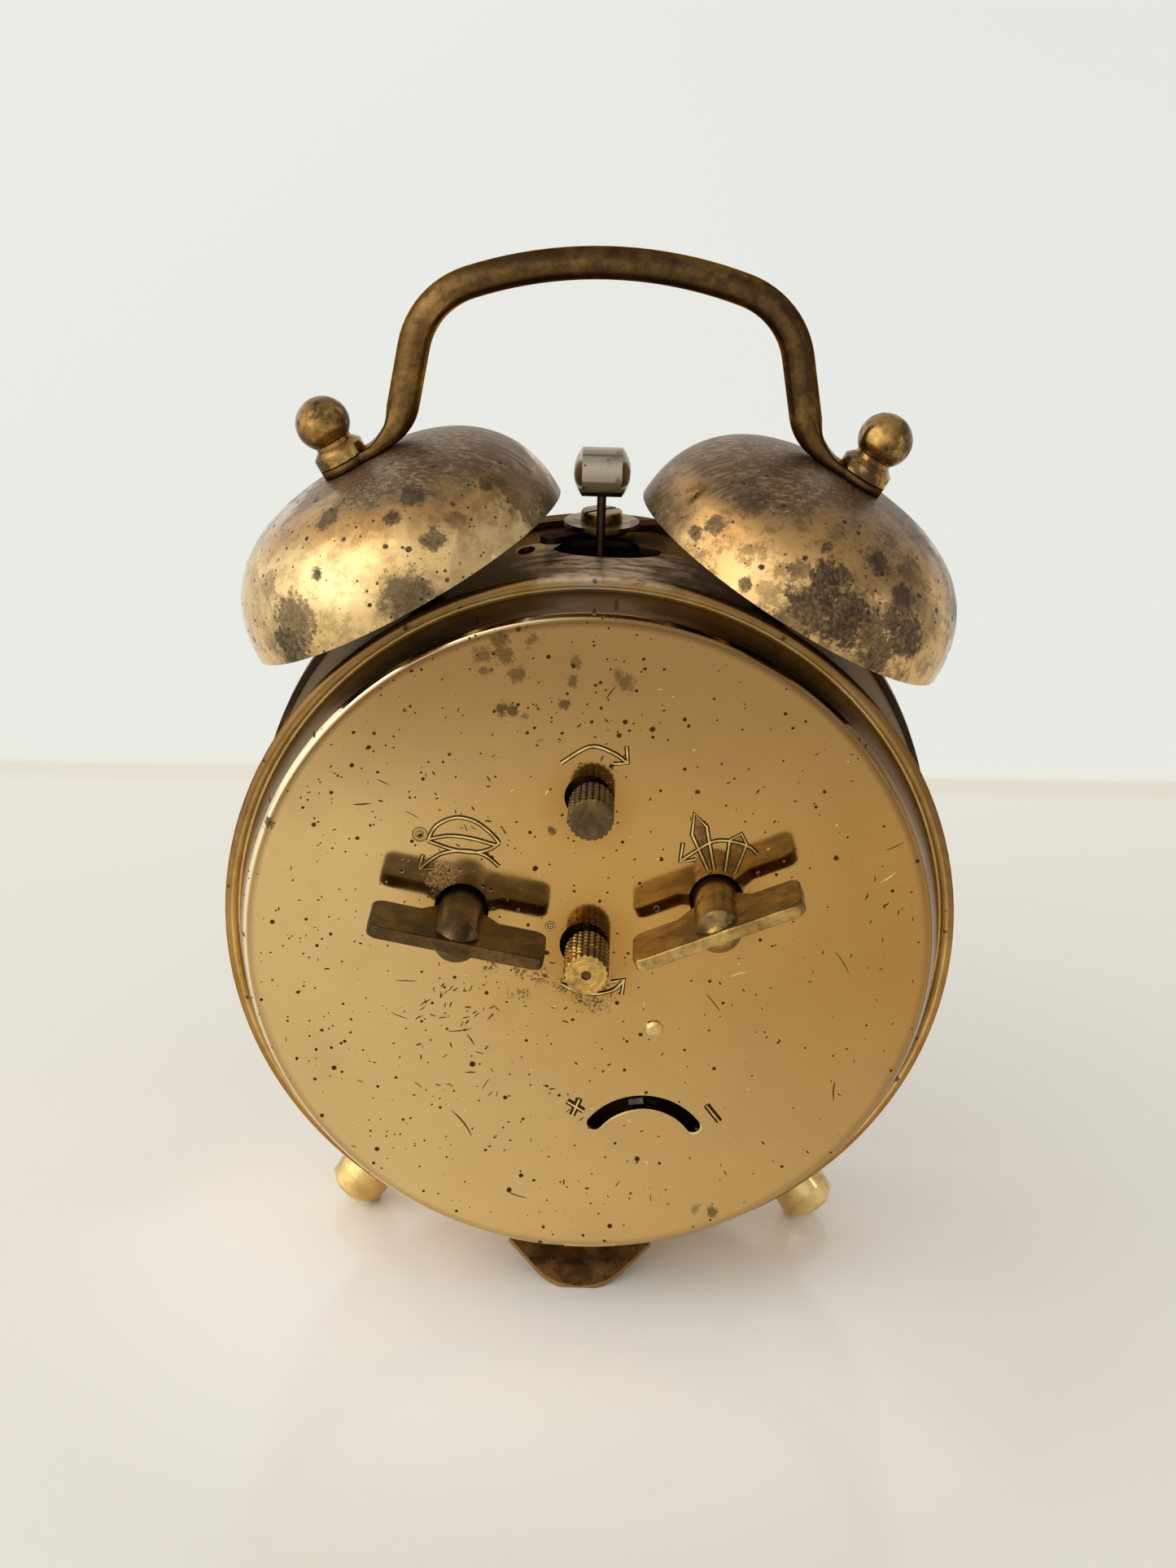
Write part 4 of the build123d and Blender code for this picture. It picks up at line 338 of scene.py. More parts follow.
def bellDullness(shader, facing, patches, look):
    # brown on the top, on the inner side facing the case as patina and painted shade, and in worn
    # patches, and the amber border of the top
    loose = look["edgeLoose"]
    broken = shader.ramp(patches, 0.3, 0.7, -loose, loose)
    upness = shader.math("ADD", facing[2], broken)
    # the inner side facing the case: partly patina, partly painted shade
    inward = shader.math("ADD", shader.product(facing[0], look["innerSide"]), broken)
    top = shader.ramp(upness, look["topFrom"], look["topTo"], 0.0, look["topAmount"])
    inner = shader.ramp(inward, look["innerFrom"], look["innerTo"], 0.0, look["innerDullAndShade"])
    worn = shader.ramp(patches, look["patchFrom"], look["patchTo"], 0.0, look["patchAmount"])
    border = shader.product(shader.ramp(upness, look["topFrom"] - look["amberReach"],
                                        look["topFrom"]), look["amberAmount"])
    return shader.most([top, inner, worn]), border


def bellMarks(shader, look):
    # round stains at their places and pin spots in loose groups
    ragged = shader.noise(1.1, 6.0, 0.75)
    marks = [shader.stain(onCover(right, up, -deep), radius, amount, ragged, 0.36, 0.6)
             for right, up, deep, radius, amount in look["stains"]]
    grouped = shader.ramp(shader.noise(look["patchSize"], 3.0), 0.4, 0.6, 0.4, 1.0)
    for size, radius, share in look["pins"]:
        marks.append(shader.specks(size, radius, share, ragged=0.15, density=grouped))
    return shader.most(marks)


def bellMaterial(name, look):
    # a bell: brown top with an amber border, bright lower part, stains and pin spots
    shader = newMaterial(name)
    surface = shader.surface
    patches = shader.noise(look["patchSize"], 7.0, 0.62, 0.4)
    dull, border = bellDullness(shader, shader.axes("Normal"), patches, look)
    clean = shader.blend(shader.ramp(shader.noise(look["patchSize"] * 1.6, 3.0), 0.35, 0.65),
                         look["clean"], look["warm"])
    clean = shader.blend(border, clean, look["amber"])
    colour = shader.blend(dull, clean, look["dull"])
    brushed = shader.noise(0.5, 3.0, 0.6, vector=shader.stretched(look["brushTurn"], 14.0))
    scuffs = shader.product(shader.ramp(brushed, 0.46, 0.62, 0.0, look["scuffAmount"]), dull)
    colour = shader.blend(scuffs, colour, look["scuff"])
    mottle = shader.ramp(shader.noise(look["mottleSize"], 7.0, 0.78), 0.47, 0.60, 0.0,
                         look["mottle"])
    colour = shader.blend(mottle, colour, look["stain"])
    marks = bellMarks(shader, look)
    speckled = shader.ramp(shader.noise(0.5, 3.0), 0.35, 0.6, 0.8, 1.0)
    colour = shader.blend(shader.product(marks, speckled), colour, look["spot"])
    shader.join(colour, surface.inputs["Base Color"])
    spoiled = shader.most([dull, mottle, marks])
    shader.join(shader.ramp(spoiled, 0.0, 1.0, look["roughClean"], look["roughDull"]),
                surface.inputs["Roughness"])
    shader.join(shader.ramp(spoiled, 0.0, 1.0, 1.0, look["dullMetal"]),
                surface.inputs["Metallic"])
    grain = shader.bump(shader.product(brushed, dull), 0.35, 0.05)
    fine = shader.bump(shader.noise(0.45, 5.0, 0.6), look["grain"], 0.05, grain)
    shader.join(shader.bump(patches, look["grain"], 0.3, fine), surface.inputs["Normal"])
    return shader.material


bellLook = {
    "clean": tone(234, 202, 144), "warm": tone(220, 182, 120), "amber": tone(156, 110, 58),
    "dull": tone(98, 79, 56), "scuff": tone(164, 140, 110), "stain": tone(90, 70, 46),
    "spot": tone(58, 48, 40),
    "patchSize": 13.0, "edgeLoose": 0.13, "topAmount": 0.95, "innerDullAndShade": 0.85,
    "amberReach": 0.24, "scuffAmount": 0.65, "mottleSize": 2.6,
    "pins": [(0.8, 0.19, 0.6), (1.3, 0.18, 0.65), (2.4, 0.16, 0.65)],
    "roughClean": 0.075, "roughDull": 0.46, "dullMetal": 0.86, "grain": 0.06}
# named as seen from the dial, so the right one stands on the left from behind
rightBell = dict(
    bellLook, innerSide=-1.0, innerFrom=0.50, innerTo=0.90, topFrom=0.66, topTo=0.86,
    patchFrom=0.54, patchTo=0.68, patchAmount=0.55, amberAmount=0.7, mottle=0.34,
    brushTurn=-30.0,
    stains=[(-35.2, 39.7, 2.4, 3.8, 0.75), (-35.8, 36.0, 3.3, 3.4, 0.9),
            (-21.8, 43.9, -1.1, 3.6, 0.7), (-19.0, 50.0, 1.4, 1.7, 0.8),
            (-21.7, 54.1, 5.1, 1.9, 0.8), (-31.6, 50.8, 6.3, 2.0, 0.8),
            (-24.0, 51.9, 2.9, 1.2, 0.9), (-32.5, 45.3, 1.9, 0.9, 0.95),
            (-13.4, 54.9, 8.1, 1.2, 0.8), (-38.8, 42.8, 6.7, 1.9, 0.5),
            (-16.6, 51.8, 3.2, 1.5, 0.5), (-9.5, 54.0, 10.9, 4.5, 0.6)])
leftBell = dict(
    bellLook, innerSide=1.0, innerFrom=0.34, innerTo=0.74, topFrom=0.52, topTo=0.80,
    patchFrom=0.44, patchTo=0.62, patchAmount=0.7, amberAmount=0.5, mottle=0.6,
    brushTurn=30.0, clean=tone(222, 182, 122), warm=tone(200, 158, 100),
    pins=[(0.8, 0.19, 0.5), (1.3, 0.18, 0.6), (2.4, 0.16, 0.6)],
    stains=[(26.5, 46.8, 0.0, 3.4, 0.95), (24.8, 44.1, -1.1, 4.2, 0.9),
            (28.6, 42.7, -0.6, 4.2, 0.95), (22.4, 42.4, -1.5, 3.0, 0.7),
            (31.6, 41.0, -0.2, 3.4, 0.8),
            (23.2, 48.1, 0.1, 1.8, 0.7), (32.2, 48.3, 3.7, 2.0, 0.85),
            (11.0, 50.6, 5.7, 1.3, 0.85), (13.2, 51.8, 4.9, 1.6, 0.8),
            (16.9, 46.1, 0.3, 1.0, 0.85), (26.2, 50.3, 2.1, 0.8, 0.85),
            (19.6, 45.3, -0.6, 2.0, 0.5), (35.4, 44.1, 3.6, 2.0, 0.8),
            (34.0, 41.7, 1.7, 2.0, 0.8), (17.6, 54.6, 5.8, 2.6, 0.6),
            (36.5, 46.7, 6.7, 2.6, 0.5), (35.6, 39.4, 3.6, 3.6, 0.9),
            (32.6, 38.0, 1.0, 2.8, 0.85)])
leftBellBrass = bellMaterial("leftBellBrass", leftBell)
rightBellBrass = bellMaterial("rightBellBrass", rightBell)


def caseMaterial(look):
    # the drum: gold rolled bead, nearly black behind it, rubbed paler on its top, the inner half of
    # the bead kept clean and less metallic as a painted highlight
    shader = newMaterial("caseBrass")
    surface = shader.surface
    place = shader.axes("Object")
    patches = shader.noise(look["patchSize"], 7.0, 0.65, 0.4)
    behind = shader.rampMm(place[1], *look["beadFromTo"], 1.0, 0.0)
    fromAxis = shader.distance((0, 0, dialCentreZ), shader.flat())
    bead = look["beadRadius"]
    # painted highlight: the inner half of the bead stays clean gold
    inner = shader.product(shader.rampMm(place[1], *look["beadFromTo"]),
                           shader.rampMm(fromAxis, bead - 0.1, bead + 0.2, 1.0, 0.0))
    upper = shader.rampMm(place[2], *look["upperFromTo"])
    dirt = shader.math("ADD", shader.product(upper, look["dirt"]),
                       shader.ramp(patches, 0.35, 0.65, -0.3, 0.3), clamp=True)
    dull = shader.product(shader.math("MAXIMUM", behind, look["beadDull"]), dirt)
    dull = shader.product(dull, shader.ramp(inner, 0.0, 1.0, 1.0, look["innerBeadHighlightDull"]))
    clean = shader.blend(shader.ramp(patches, 0.4, 0.6), look["clean"], look["warm"])
    outer = shader.rampMm(fromAxis, bead, bead + 0.3, 0.0, look["outerAmount"])
    clean = shader.blend(outer, clean, look["outer"])
    colour = shader.blend(dull, clean, look["dull"])
    scratched = shader.noise(look["rubSize"], 6.0, 0.7, vector=shader.stretched(0, 3.5))
    worn = shader.product(shader.stain(*look["wornPlace"], 1.0, patches, 0.4, 0.3), look["rub"])
    rub = shader.product(shader.ramp(scratched, 0.36, 0.56), worn)
    rim = shader.stain(*look["holeRim"], 0.6, scratched, 0.1, 0.9)
    colour = shader.blend(shader.math("MAXIMUM", rub, rim), colour, look["rubbed"])
    specks = shader.specks(2.2, 0.16, 0.4)
    colour = shader.blend(shader.product(specks, 0.8), colour, look["stain"])
    shader.join(colour, surface.inputs["Base Color"])
    surface.inputs["Specular Tint"].default_value = look["edgeTint"]
    shader.join(shader.ramp(dull, 0.0, 1.0, look["roughClean"], look["roughDull"]),
                surface.inputs["Roughness"])
    metal = shader.math("SUBTRACT", shader.ramp(dull, 0.0, 1.0, 1.0, look["dullMetal"]),
                        shader.product(inner, look["innerSoft"]))
    metal = shader.math("SUBTRACT", metal, shader.product(rub, look["rubSoft"]))
    shader.join(metal, surface.inputs["Metallic"])
    shader.join(shader.bump(shader.noise(0.5, 5.0), 0.12, 0.05), surface.inputs["Normal"])
    return shader.material


caseBrass = caseMaterial({
    "clean": tone(240, 200, 122), "warm": tone(222, 176, 98), "dull": tone(68, 54, 43),
    "outer": tone(160, 116, 62), "edgeTint": tone(206, 184, 156),
    "rubbed": tone(186, 166, 140), "stain": tone(60, 42, 28), "patchSize": 9.0, "rubSize": 2.0,
    "rub": 0.95, "rubSoft": 0.4, "wornPlace": (onCover(1, 44, -14), 13.0),
    "holeRim": (onCover(-8.7, 42.9, -25.0), 2.05), "upperFromTo": (38.0, 78.0), "dirt": 1.4,
    "beadFromTo": (6.1, 7.0), "beadRadius": 44.0, "beadDull": 0.55, "outerAmount": 0.85,
    "innerSoft": 0.6, "innerBeadHighlightDull": 0.2, "roughClean": 0.26, "roughDull": 0.40,
    "dullMetal": 0.94})

trimBrass = brassMaterial("trimBrass", {
    "clean": tone(200, 160, 92), "warm": tone(166, 128, 70), "dull": tone(86, 66, 40),
    "stain": tone(60, 46, 34), "patchSize": 4.0, "patchFrom": 0.44, "patchTo": 0.60,
    "patchAmount": 0.95, "upFrom": 0.4, "upTo": 0.95, "upAmount": 0.6, "mottleSize": 1.6,
    "mottle": 0.55, "spotSize": 1.8, "spotRadius": 0.2, "spotShare": 0.4, "spotAmount": 0.8,
    "roughClean": 0.2, "roughDull": 0.45, "dullMetal": 0.85, "grainSize": 0.35, "grain": 0.14})

footBrass = brassMaterial("footBrass", {
    "clean": tone(242, 214, 150), "warm": tone(220, 186, 116), "dull": tone(148, 118, 72),
    "stain": tone(80, 60, 40), "patchSize": 5.0, "patchFrom": 0.55, "patchTo": 0.72,
    "patchAmount": 0.6, "mottleSize": 2.0, "mottle": 0.25, "roughClean": 0.18,
    "roughDull": 0.4, "dullMetal": 0.9, "grainSize": 0.4, "grain": 0.1})

# the handle's rubbed tone makes its sheen, partly rubbed wear and partly a painted highlight; it is
# also less dull toward the left as painted light
handleBrass = brassMaterial("handleBrass", {
    "clean": tone(176, 136, 76), "warm": tone(140, 104, 58), "dull": tone(62, 46, 30),
    "stain": tone(44, 34, 24), "rubbed": tone(176, 132, 72), "patchSize": 7.0,
    "leftPaintedLight": 0.25, "crestSheen": 0.16, "patchFrom": 0.26, "patchTo": 0.56,
    "patchAmount": 0.95, "upFrom": -0.1, "upTo": 0.6, "upAmount": 0.85, "mottleSize": 0.9,
    "mottle": 0.5, "roughClean": 0.12, "roughDull": 0.28, "dullMetal": 0.95,
    "edgeTint": tone(190, 166, 128), "grainSize": 0.4, "grain": 0.18})

keyLook = {"patchSize": 4.5, "patchTo": 0.58, "patchAmount": 0.9, "upFrom": 0.2, "upTo": 0.9,
           "mottleSize": 1.2, "mottle": 0.5, "roughDull": 0.38, "dullMetal": 0.92,
           "grainSize": 0.3, "grain": 0.16}
timeKeyBrass = brassMaterial("timeKeyBrass", dict(
    keyLook, clean=tone(218, 182, 112), warm=tone(176, 140, 80), dull=tone(78, 62, 38),
    stain=tone(50, 38, 24), patchFrom=0.40, upAmount=0.7, roughClean=0.18, rearWornAndLit=0.8))
alarmKeyBrass = brassMaterial("alarmKeyBrass", dict(
    keyLook, clean=tone(124, 96, 56), warm=tone(98, 75, 43), dull=tone(56, 43, 27),
    stain=tone(40, 31, 22), patchFrom=0.36, upAmount=0.6, roughClean=0.2, rearWornAndLit=0.5))

movementBrass = plainMetal("movementBrass", {
    "colour": tone(208, 172, 104), "shade": tone(176, 138, 78), "cloudSize": 6.0, "metal": 1.0,
    "rough": 0.28, "grainSize": 0.4, "grain": 0.08})
steelGrey = plainMetal("steelGrey", {
    "colour": tone(186, 186, 188), "shade": tone(140, 138, 136), "cloudSize": 4.0, "metal": 1.0,
    "rough": 0.26, "grainSize": 0.3, "grain": 0.06})
darkSteelAndShade = plainMetal("darkSteelAndShade", {
    "colour": tone(80, 64, 48), "shade": tone(44, 35, 27), "cloudSize": 5.0, "metal": 0.95,
    "rough": 0.34, "edgeTint": tone(150, 128, 104), "grainSize": 0.4, "grain": 0.16})
dimSteel = plainMetal("dimSteel", {
    "colour": tone(116, 114, 108), "shade": tone(84, 80, 74), "cloudSize": 3.0, "metal": 1.0,
    "rough": 0.4, "grainSize": 0.3, "grain": 0.1})
bluedSteel = plainMetal("bluedSteel", {
    "colour": tone(72, 84, 116), "shade": tone(50, 58, 84), "cloudSize": 5.0, "metal": 1.0,
    "rough": 0.25, "grainSize": 0.3, "grain": 0.05})
print("brass and steel materials made")


def nickelMaterial(look):
    # worn nickel of the hammer head: upright brushing and brown specks
    shader = newMaterial("hammerNickel")
    surface = shader.surface
    brushed = shader.add("ShaderNodeMapping", vector_type="TEXTURE")
    shader.join(shader.coords.outputs["Object"], brushed.inputs["Vector"])
    brushed.inputs["Scale"].default_value = (1, 1, look["draw"])
    lines = shader.noise(look["lineSize"], 3.0, 0.6, vector=brushed.outputs[0])
    cloud = shader.ramp(shader.noise(look["cloudSize"], 5.0), 0.52, 0.7)
    colour = shader.blend(cloud, look["colour"], look["shade"])
    specks = shader.specks(look["speckSize"], 0.2, 0.5)
    shader.join(shader.blend(specks, colour, look["brown"]), surface.inputs["Base Color"])
    shader.join(shader.ramp(cloud, 0.0, 1.0, look["rough"], 0.45), surface.inputs["Roughness"])
    surface.inputs["Metallic"].default_value = 1.0
    shader.join(shader.bump(lines, look["grain"], 0.05), surface.inputs["Normal"])
    return shader.material


hammerNickel = nickelMaterial({
    "colour": tone(160, 151, 132), "shade": tone(112, 102, 84), "brown": tone(84, 66, 46),
    "draw": 14.0, "lineSize": 0.5, "cloudSize": 2.5, "speckSize": 0.9, "rough": 0.22,
    "grain": 0.25})


def coverTones(shader, place, cloud, look):
    # golden about the middle, deeper to the right partly as patina and partly as painted shade,
    # brown to the top, glowing round the holes
    loose = shader.ramp(cloud, 0.3, 0.7, -look["loose"], look["loose"])
    toShadedRight, toTop, toFoot = [
        shader.math("ADD", shader.rampMm(place[axis], *fromTo), loose, clamp=True)
        for axis, fromTo in ((0, look["shadedRightFromTo"]), (2, look["topFromTo"]),
                             (2, look["footFromTo"]))]
    # deeper to the right: partly patina, partly painted shade away from the light
    colour = shader.blend(toShadedRight, look["clean"], look["deep"])
    colour = shader.blend(shader.stain(*look["middle"], 0.8, cloud, 0.1, 0.0), colour,
                          look["golden"])
    colour = shader.blend(toTop, colour, look["brown"])
    colour = shader.blend(shader.product(toFoot, look["footAmount"]), colour, look["clean"])
    for node, reach in look["holes"]:
        low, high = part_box(node)
        centre = Vector(((low.x + high.x) / 2, coverY, (low.z + high.z) / 2))
        glow = shader.stain(centre, reach, 0.75, cloud, 0.15, 0.1)
        colour = shader.blend(glow, colour, look["glow"])
    return colour


def coverRim(shader, place, fromAxis, colour, look):
    # the turned-down border: brown and darker toward the top, its groove darker as painted shade,
    # its edge a painted highlight on the left only and painted shade on the right, its cut edges a
    # painted highlight
    above = shader.rampMm(place[2], *look["rimRise"], 0.35, 0.9)
    inside = shader.product(shader.rampMm(fromAxis, *look["rimFrom"]),
                            shader.rampMm(fromAxis, *look["rimTo"], 1.0, 0.0))
    inside = shader.product(inside, above)
    colour = shader.blend(inside, colour, look["rim"])
    deep = shader.math("SUBTRACT", coverY, place[1])
    # painted shade: the groove below the plane is darker, more so toward the top
    valleyShade = shader.rampMm(deep, *look["valleyShadeDeep"], 0.0, shader.math("ADD", above, 0.15))
    colour = shader.blend(valleyShade, colour, look["valleyShade"])
    # painted highlight on the edge of the border at the left, painted shade on it at the right
    band = shader.rampMm(fromAxis, *look["edgeFrom"])
    lit = shader.product(shader.rampMm(deep, *look["litDeep"], 0.9, 0.0),
                         shader.rampMm(place[0], *look["litSide"]))
    colour = shader.blend(shader.product(band, lit), colour, look["edge"])
    shaded = shader.product(band, shader.rampMm(place[0], *look["shadedSide"], 0.0, 0.75))
    colour = shader.blend(shaded, colour, look["rim"])
    # painted highlight: the cut edges of the holes take a near-white tone, partly bare brass
    cut = shader.product(shader.ramp(shader.axes("Normal")[1], 0.15, 0.3, 0.9, 0.0),
                         shader.rampMm(fromAxis, *look["cutHighlightTo"], 1.0, 0.0))
    return shader.blend(cut, colour, look["cut"]), shader.math("MAXIMUM", inside, valleyShade)


def coverStains(shader, look):
    # brown stains, and streaks that are gritty inside
    ragged = shader.noise(0.7, 5.0, 0.75)
    stains = [shader.stain(onCover(right, up), radius, amount, ragged, 0.45, 0.4)
              for right, up, radius, amount in look["stains"]]
    streaks = [shader.stain(onCover(right, up), radius, 1.0, ragged, 0.45, 0.4)
               for right, up, radius in look["streaks"]]
    grit = shader.ramp(shader.noise(0.45, 5.0, 0.8), 0.46, 0.54, 0.0, 0.85)
    return shader.most([shader.most(stains), shader.product(shader.most(streaks), grit)])


def coverPits(shader, place, flat, cloud, look):
    # pits of several sizes, thicker on the left half and about the middle of the top
    leftHalf = shader.rampMm(place[0], *look["leftFromTo"], 0.35, 1.0)
    topPatch = shader.stain(*look["topPatch"], 1.6, cloud)
    clumps = shader.ramp(shader.noise(7.0, 3.0), 0.35, 0.65, 0.45, 1.4)
    density = shader.product(shader.math("MAXIMUM", leftHalf, topPatch), clumps)
    return shader.most([shader.specks(size, radius, share, flat, 0.12, density)
                        for size, radius, share in look["pits"]])


def coverMaterial(look):
    # polished cover: mirror brass with pits and stains
    shader = newMaterial("coverBrass")
    surface = shader.surface
    place = shader.axes("Object")
    flat = shader.flat()
    cloud = shader.noise(look["cloudSize"], 4.0, 0.5, 0.3)
    colour = coverTones(shader, place, cloud, look)
    fromAxis = shader.distance((0, 0, dialCentreZ), flat)
    colour, rim = coverRim(shader, place, fromAxis, colour, look)
    haze = shader.ramp(shader.noise(look["hazeSize"], 6.0, 0.65), 0.45, 0.72)
    colour = shader.blend(shader.product(haze, look["haze"]), colour, look["dull"])
    stained = coverStains(shader, look)
    colour = shader.blend(stained, colour, look["stain"])
    pits = coverPits(shader, place, flat, cloud, look)
    shader.join(shader.blend(pits, colour, look["pit"]), surface.inputs["Base Color"])
    surface.inputs["Metallic"].default_value = 1.0
    marks = shader.most([pits, shader.product(stained, 0.7), rim])
    rough = shader.ramp(haze, 0.0, 1.0, look["roughClean"], look["roughHazy"])
    shader.join(shader.math("ADD", rough, shader.product(marks, look["roughMarks"])),
                surface.inputs["Roughness"])
    wavy = shader.bump(cloud, 0.10, 0.35)
    grain = shader.bump(shader.noise(0.6, 4.0), 0.05, 0.03, wavy)
    pitted = shader.bump(shader.math("SUBTRACT", 1.0, marks), 0.5, 0.05, grain)
    shader.join(pitted, surface.inputs["Normal"])
    return shader.material


# the lengths of the ramps are in mm: across, up from the table, from the axis, or below the plane
coverBrass = coverMaterial({
    # deep is the tone to the right, partly patina and partly painted shade
    "clean": tone(222, 189, 130), "deep": tone(182, 140, 78), "golden": tone(198, 154, 82),
    "brown": tone(164, 129, 80), "glow": tone(170, 122, 54), "dull": tone(120, 90, 54),
    # valleyShade is painted shade in the groove; cut and edge are near-white painted highlights
    "rim": tone(120, 90, 56), "valleyShade": tone(104, 84, 58), "cut": tone(255, 240, 196),
    "edge": tone(255, 240, 200), "stain": tone(74, 57, 36), "pit": tone(70, 47, 23),
    "cloudSize": 26.0, "loose": 0.07, "hazeSize": 9.0, "haze": 0.07, "roughClean": 0.09,
    "roughHazy": 0.15, "roughMarks": 0.3, "shadedRightFromTo": (36.0, -40.0),
    "topFromTo": (58.0, 88.0), "footFromTo": (52.0, 22.0), "footAmount": 0.32,
    "middle": (onCover(2, 7), 32.0), "rimRise": (45.0, 85.0), "rimFrom": (40.2, 41.1),
    "rimTo": (41.2, 41.4), "valleyShadeDeep": (1.0, 1.3), "edgeFrom": (41.35, 41.50),
    "litDeep": (0.9, 1.1), "litSide": (-4.0, 16.0), "shadedSide": (6.0, -14.0),
    "cutHighlightTo": (40.0, 40.4), "leftFromTo": (-30.0, 14.0), "topPatch": (onCover(-3, 33), 17.0),
    "holes": [("time_key_hub", 8.0), ("alarm_key_hub", 7.0), ("time_set_knob", 8.0),
              ("alarm_set_knob", 7.0)],
    "stains": [(-12.9, 36.7, 1.5, 0.6), (-10.6, 36.8, 1.6, 0.65), (-11.1, 38.5, 1.5, 0.7),
               (-7.6, 38.6, 1.1, 0.6), (-9.3, 34.4, 1.4, 0.65), (-2.1, 36.2, 0.9, 0.55),
               (-2.6, 33.7, 0.9, 0.65), (-10.7, 30.3, 1.0, 0.8), (-9.5, 30.1, 0.9, 0.8),
               (-3.7, 31.1, 1.0, 0.75), (-8.2, 29.4, 0.7, 0.6), (-12.8, 34.8, 0.9, 0.6),
               (3.7, 33.8, 1.3, 0.6), (2.7, 34.9, 0.8, 0.6), (-38.6, 15.0, 1.0, 0.9),
               (16.7, -35.8, 1.0, 0.7), (14.4, -35.4, 0.8, 0.5), (-4.7, 15.2, 0.7, 0.8)],
    "streaks": [(-11.5, -2.5, 1.6), (-8.0, -2.9, 1.6), (-5.5, -3.9, 1.5), (-3.0, -4.9, 1.4),
                (-9.4, -6.4, 0.8), (-7.5, -6.2, 1.1), (1.0, -7.0, 2.2), (-0.8, -6.5, 1.4),
                (2.7, -5.8, 1.4), (18.0, 6.5, 2.4), (-17.6, 8.6, 2.2)],
    "pits": [(0.8, 0.14, 0.5), (1.4, 0.13, 0.75), (2.3, 0.115, 0.75), (4.2, 0.08, 0.65)]})

dress(coverBrass, "rear_cover")
dress(caseBrass, "case_body", "bezel", "bell_posts", "rear_foot_rivets")
dress(leftBellBrass, "bell_left")
dress(rightBellBrass, "bell_right")
dress(trimBrass, "finial_left", "finial_right", "lever_washer", "lever_screw", "dial_ring")
dress(footBrass, "front_feet", "cover_rivet")
dress(timeKeyBrass, "time_key_hub", "time_key_wing")
dress(alarmKeyBrass, "alarm_key_hub", "alarm_key_wing")
dress(movementBrass, "front_plate", "rear_plate", "balance_bearings", "minute_wheel",
      "hour_wheel", "centre_wheel", "time_great_wheel", "third_wheel", "fourth_wheel",
      "escape_wheel", "balance_wheel", "alarm_great_wheel", "alarm_escape_wheel", "alarm_wheel",
      "alarm_hand")
dress(steelGrey, "plate_pillars", "pillar_nuts", "centre_arbor",
      "time_winding_arbor", "alarm_winding_arbor", "pallet_fork", "balance_staff",
      "hammer_arbor", "alarm_set_arbor", "time_click", "alarm_click")
dress(dimSteel, "regulator_lever")
# the dark steel on the movement brackets is painted shade inside the case
dress(darkSteelAndShade, "stop_lever", "hammer_rod", "movement_brackets")
dress(bluedSteel, "time_mainspring", "alarm_mainspring", "hairspring")
dress(hammerNickel, "hammer_head")


def tongueMaterial(look):
    # dark brown sheet of the rear foot, bright only along its cut edge
    shader = newMaterial("tongueBrass")
    surface = shader.surface
    facing = shader.axes("Normal")
    cloud = shader.ramp(shader.noise(look["cloudSize"], 6.0, 0.7), 0.38, 0.66)
    sheet = shader.blend(cloud, look["dark"], look["brown"])
    cut = shader.ramp(shader.math("ABSOLUTE", facing[2]), 0.25, 0.4, 1.0, 0.0)
    shader.join(shader.blend(cut, sheet, look["edge"]), surface.inputs["Base Color"])
    surface.inputs["Metallic"].default_value = 0.9
    shader.join(shader.ramp(cloud, 0.0, 1.0, 0.2, 0.34), surface.inputs["Roughness"])
    shader.join(shader.bump(shader.noise(0.4, 5.0), 0.14, 0.05), surface.inputs["Normal"])
    return shader.material


dress(tongueMaterial({"dark": tone(118, 98, 72), "brown": tone(176, 150, 114),
                      "edge": tone(160, 126, 74), "cloudSize": 3.0}), "rear_foot")
print("carried-over pieces dressed")


# the carrying handle: round rod whose ends are beaten flat under the finials
handleLook = {"rodRadius": 1.95, "flatThickness": 1.3, "eyeRadius": 3.15, "crownDistance": 61.9,
              "crownTurn": 29.8, "topRadius": 50.0, "topHalfAngle": 19.0,
              "shoulderRadius": 10.0, "legAngle": 80.0, "footRadius": 4.6, "around": 28,
              "flatFrom": 0.4, "flatTo": 3.2, "flatSpread": 0.12, "flatSquare": 4.0,
              "eyeStart": -2.2, "topSteps": 10, "legSteps": 5, "bendSteps": 12, "eyeSteps": 14}


def wayAt(angle):
    return Vector((math.cos(math.radians(angle)), math.sin(math.radians(angle))))


def onCircle(centre, radius, angle):
    return centre + radius * wayAt(angle)


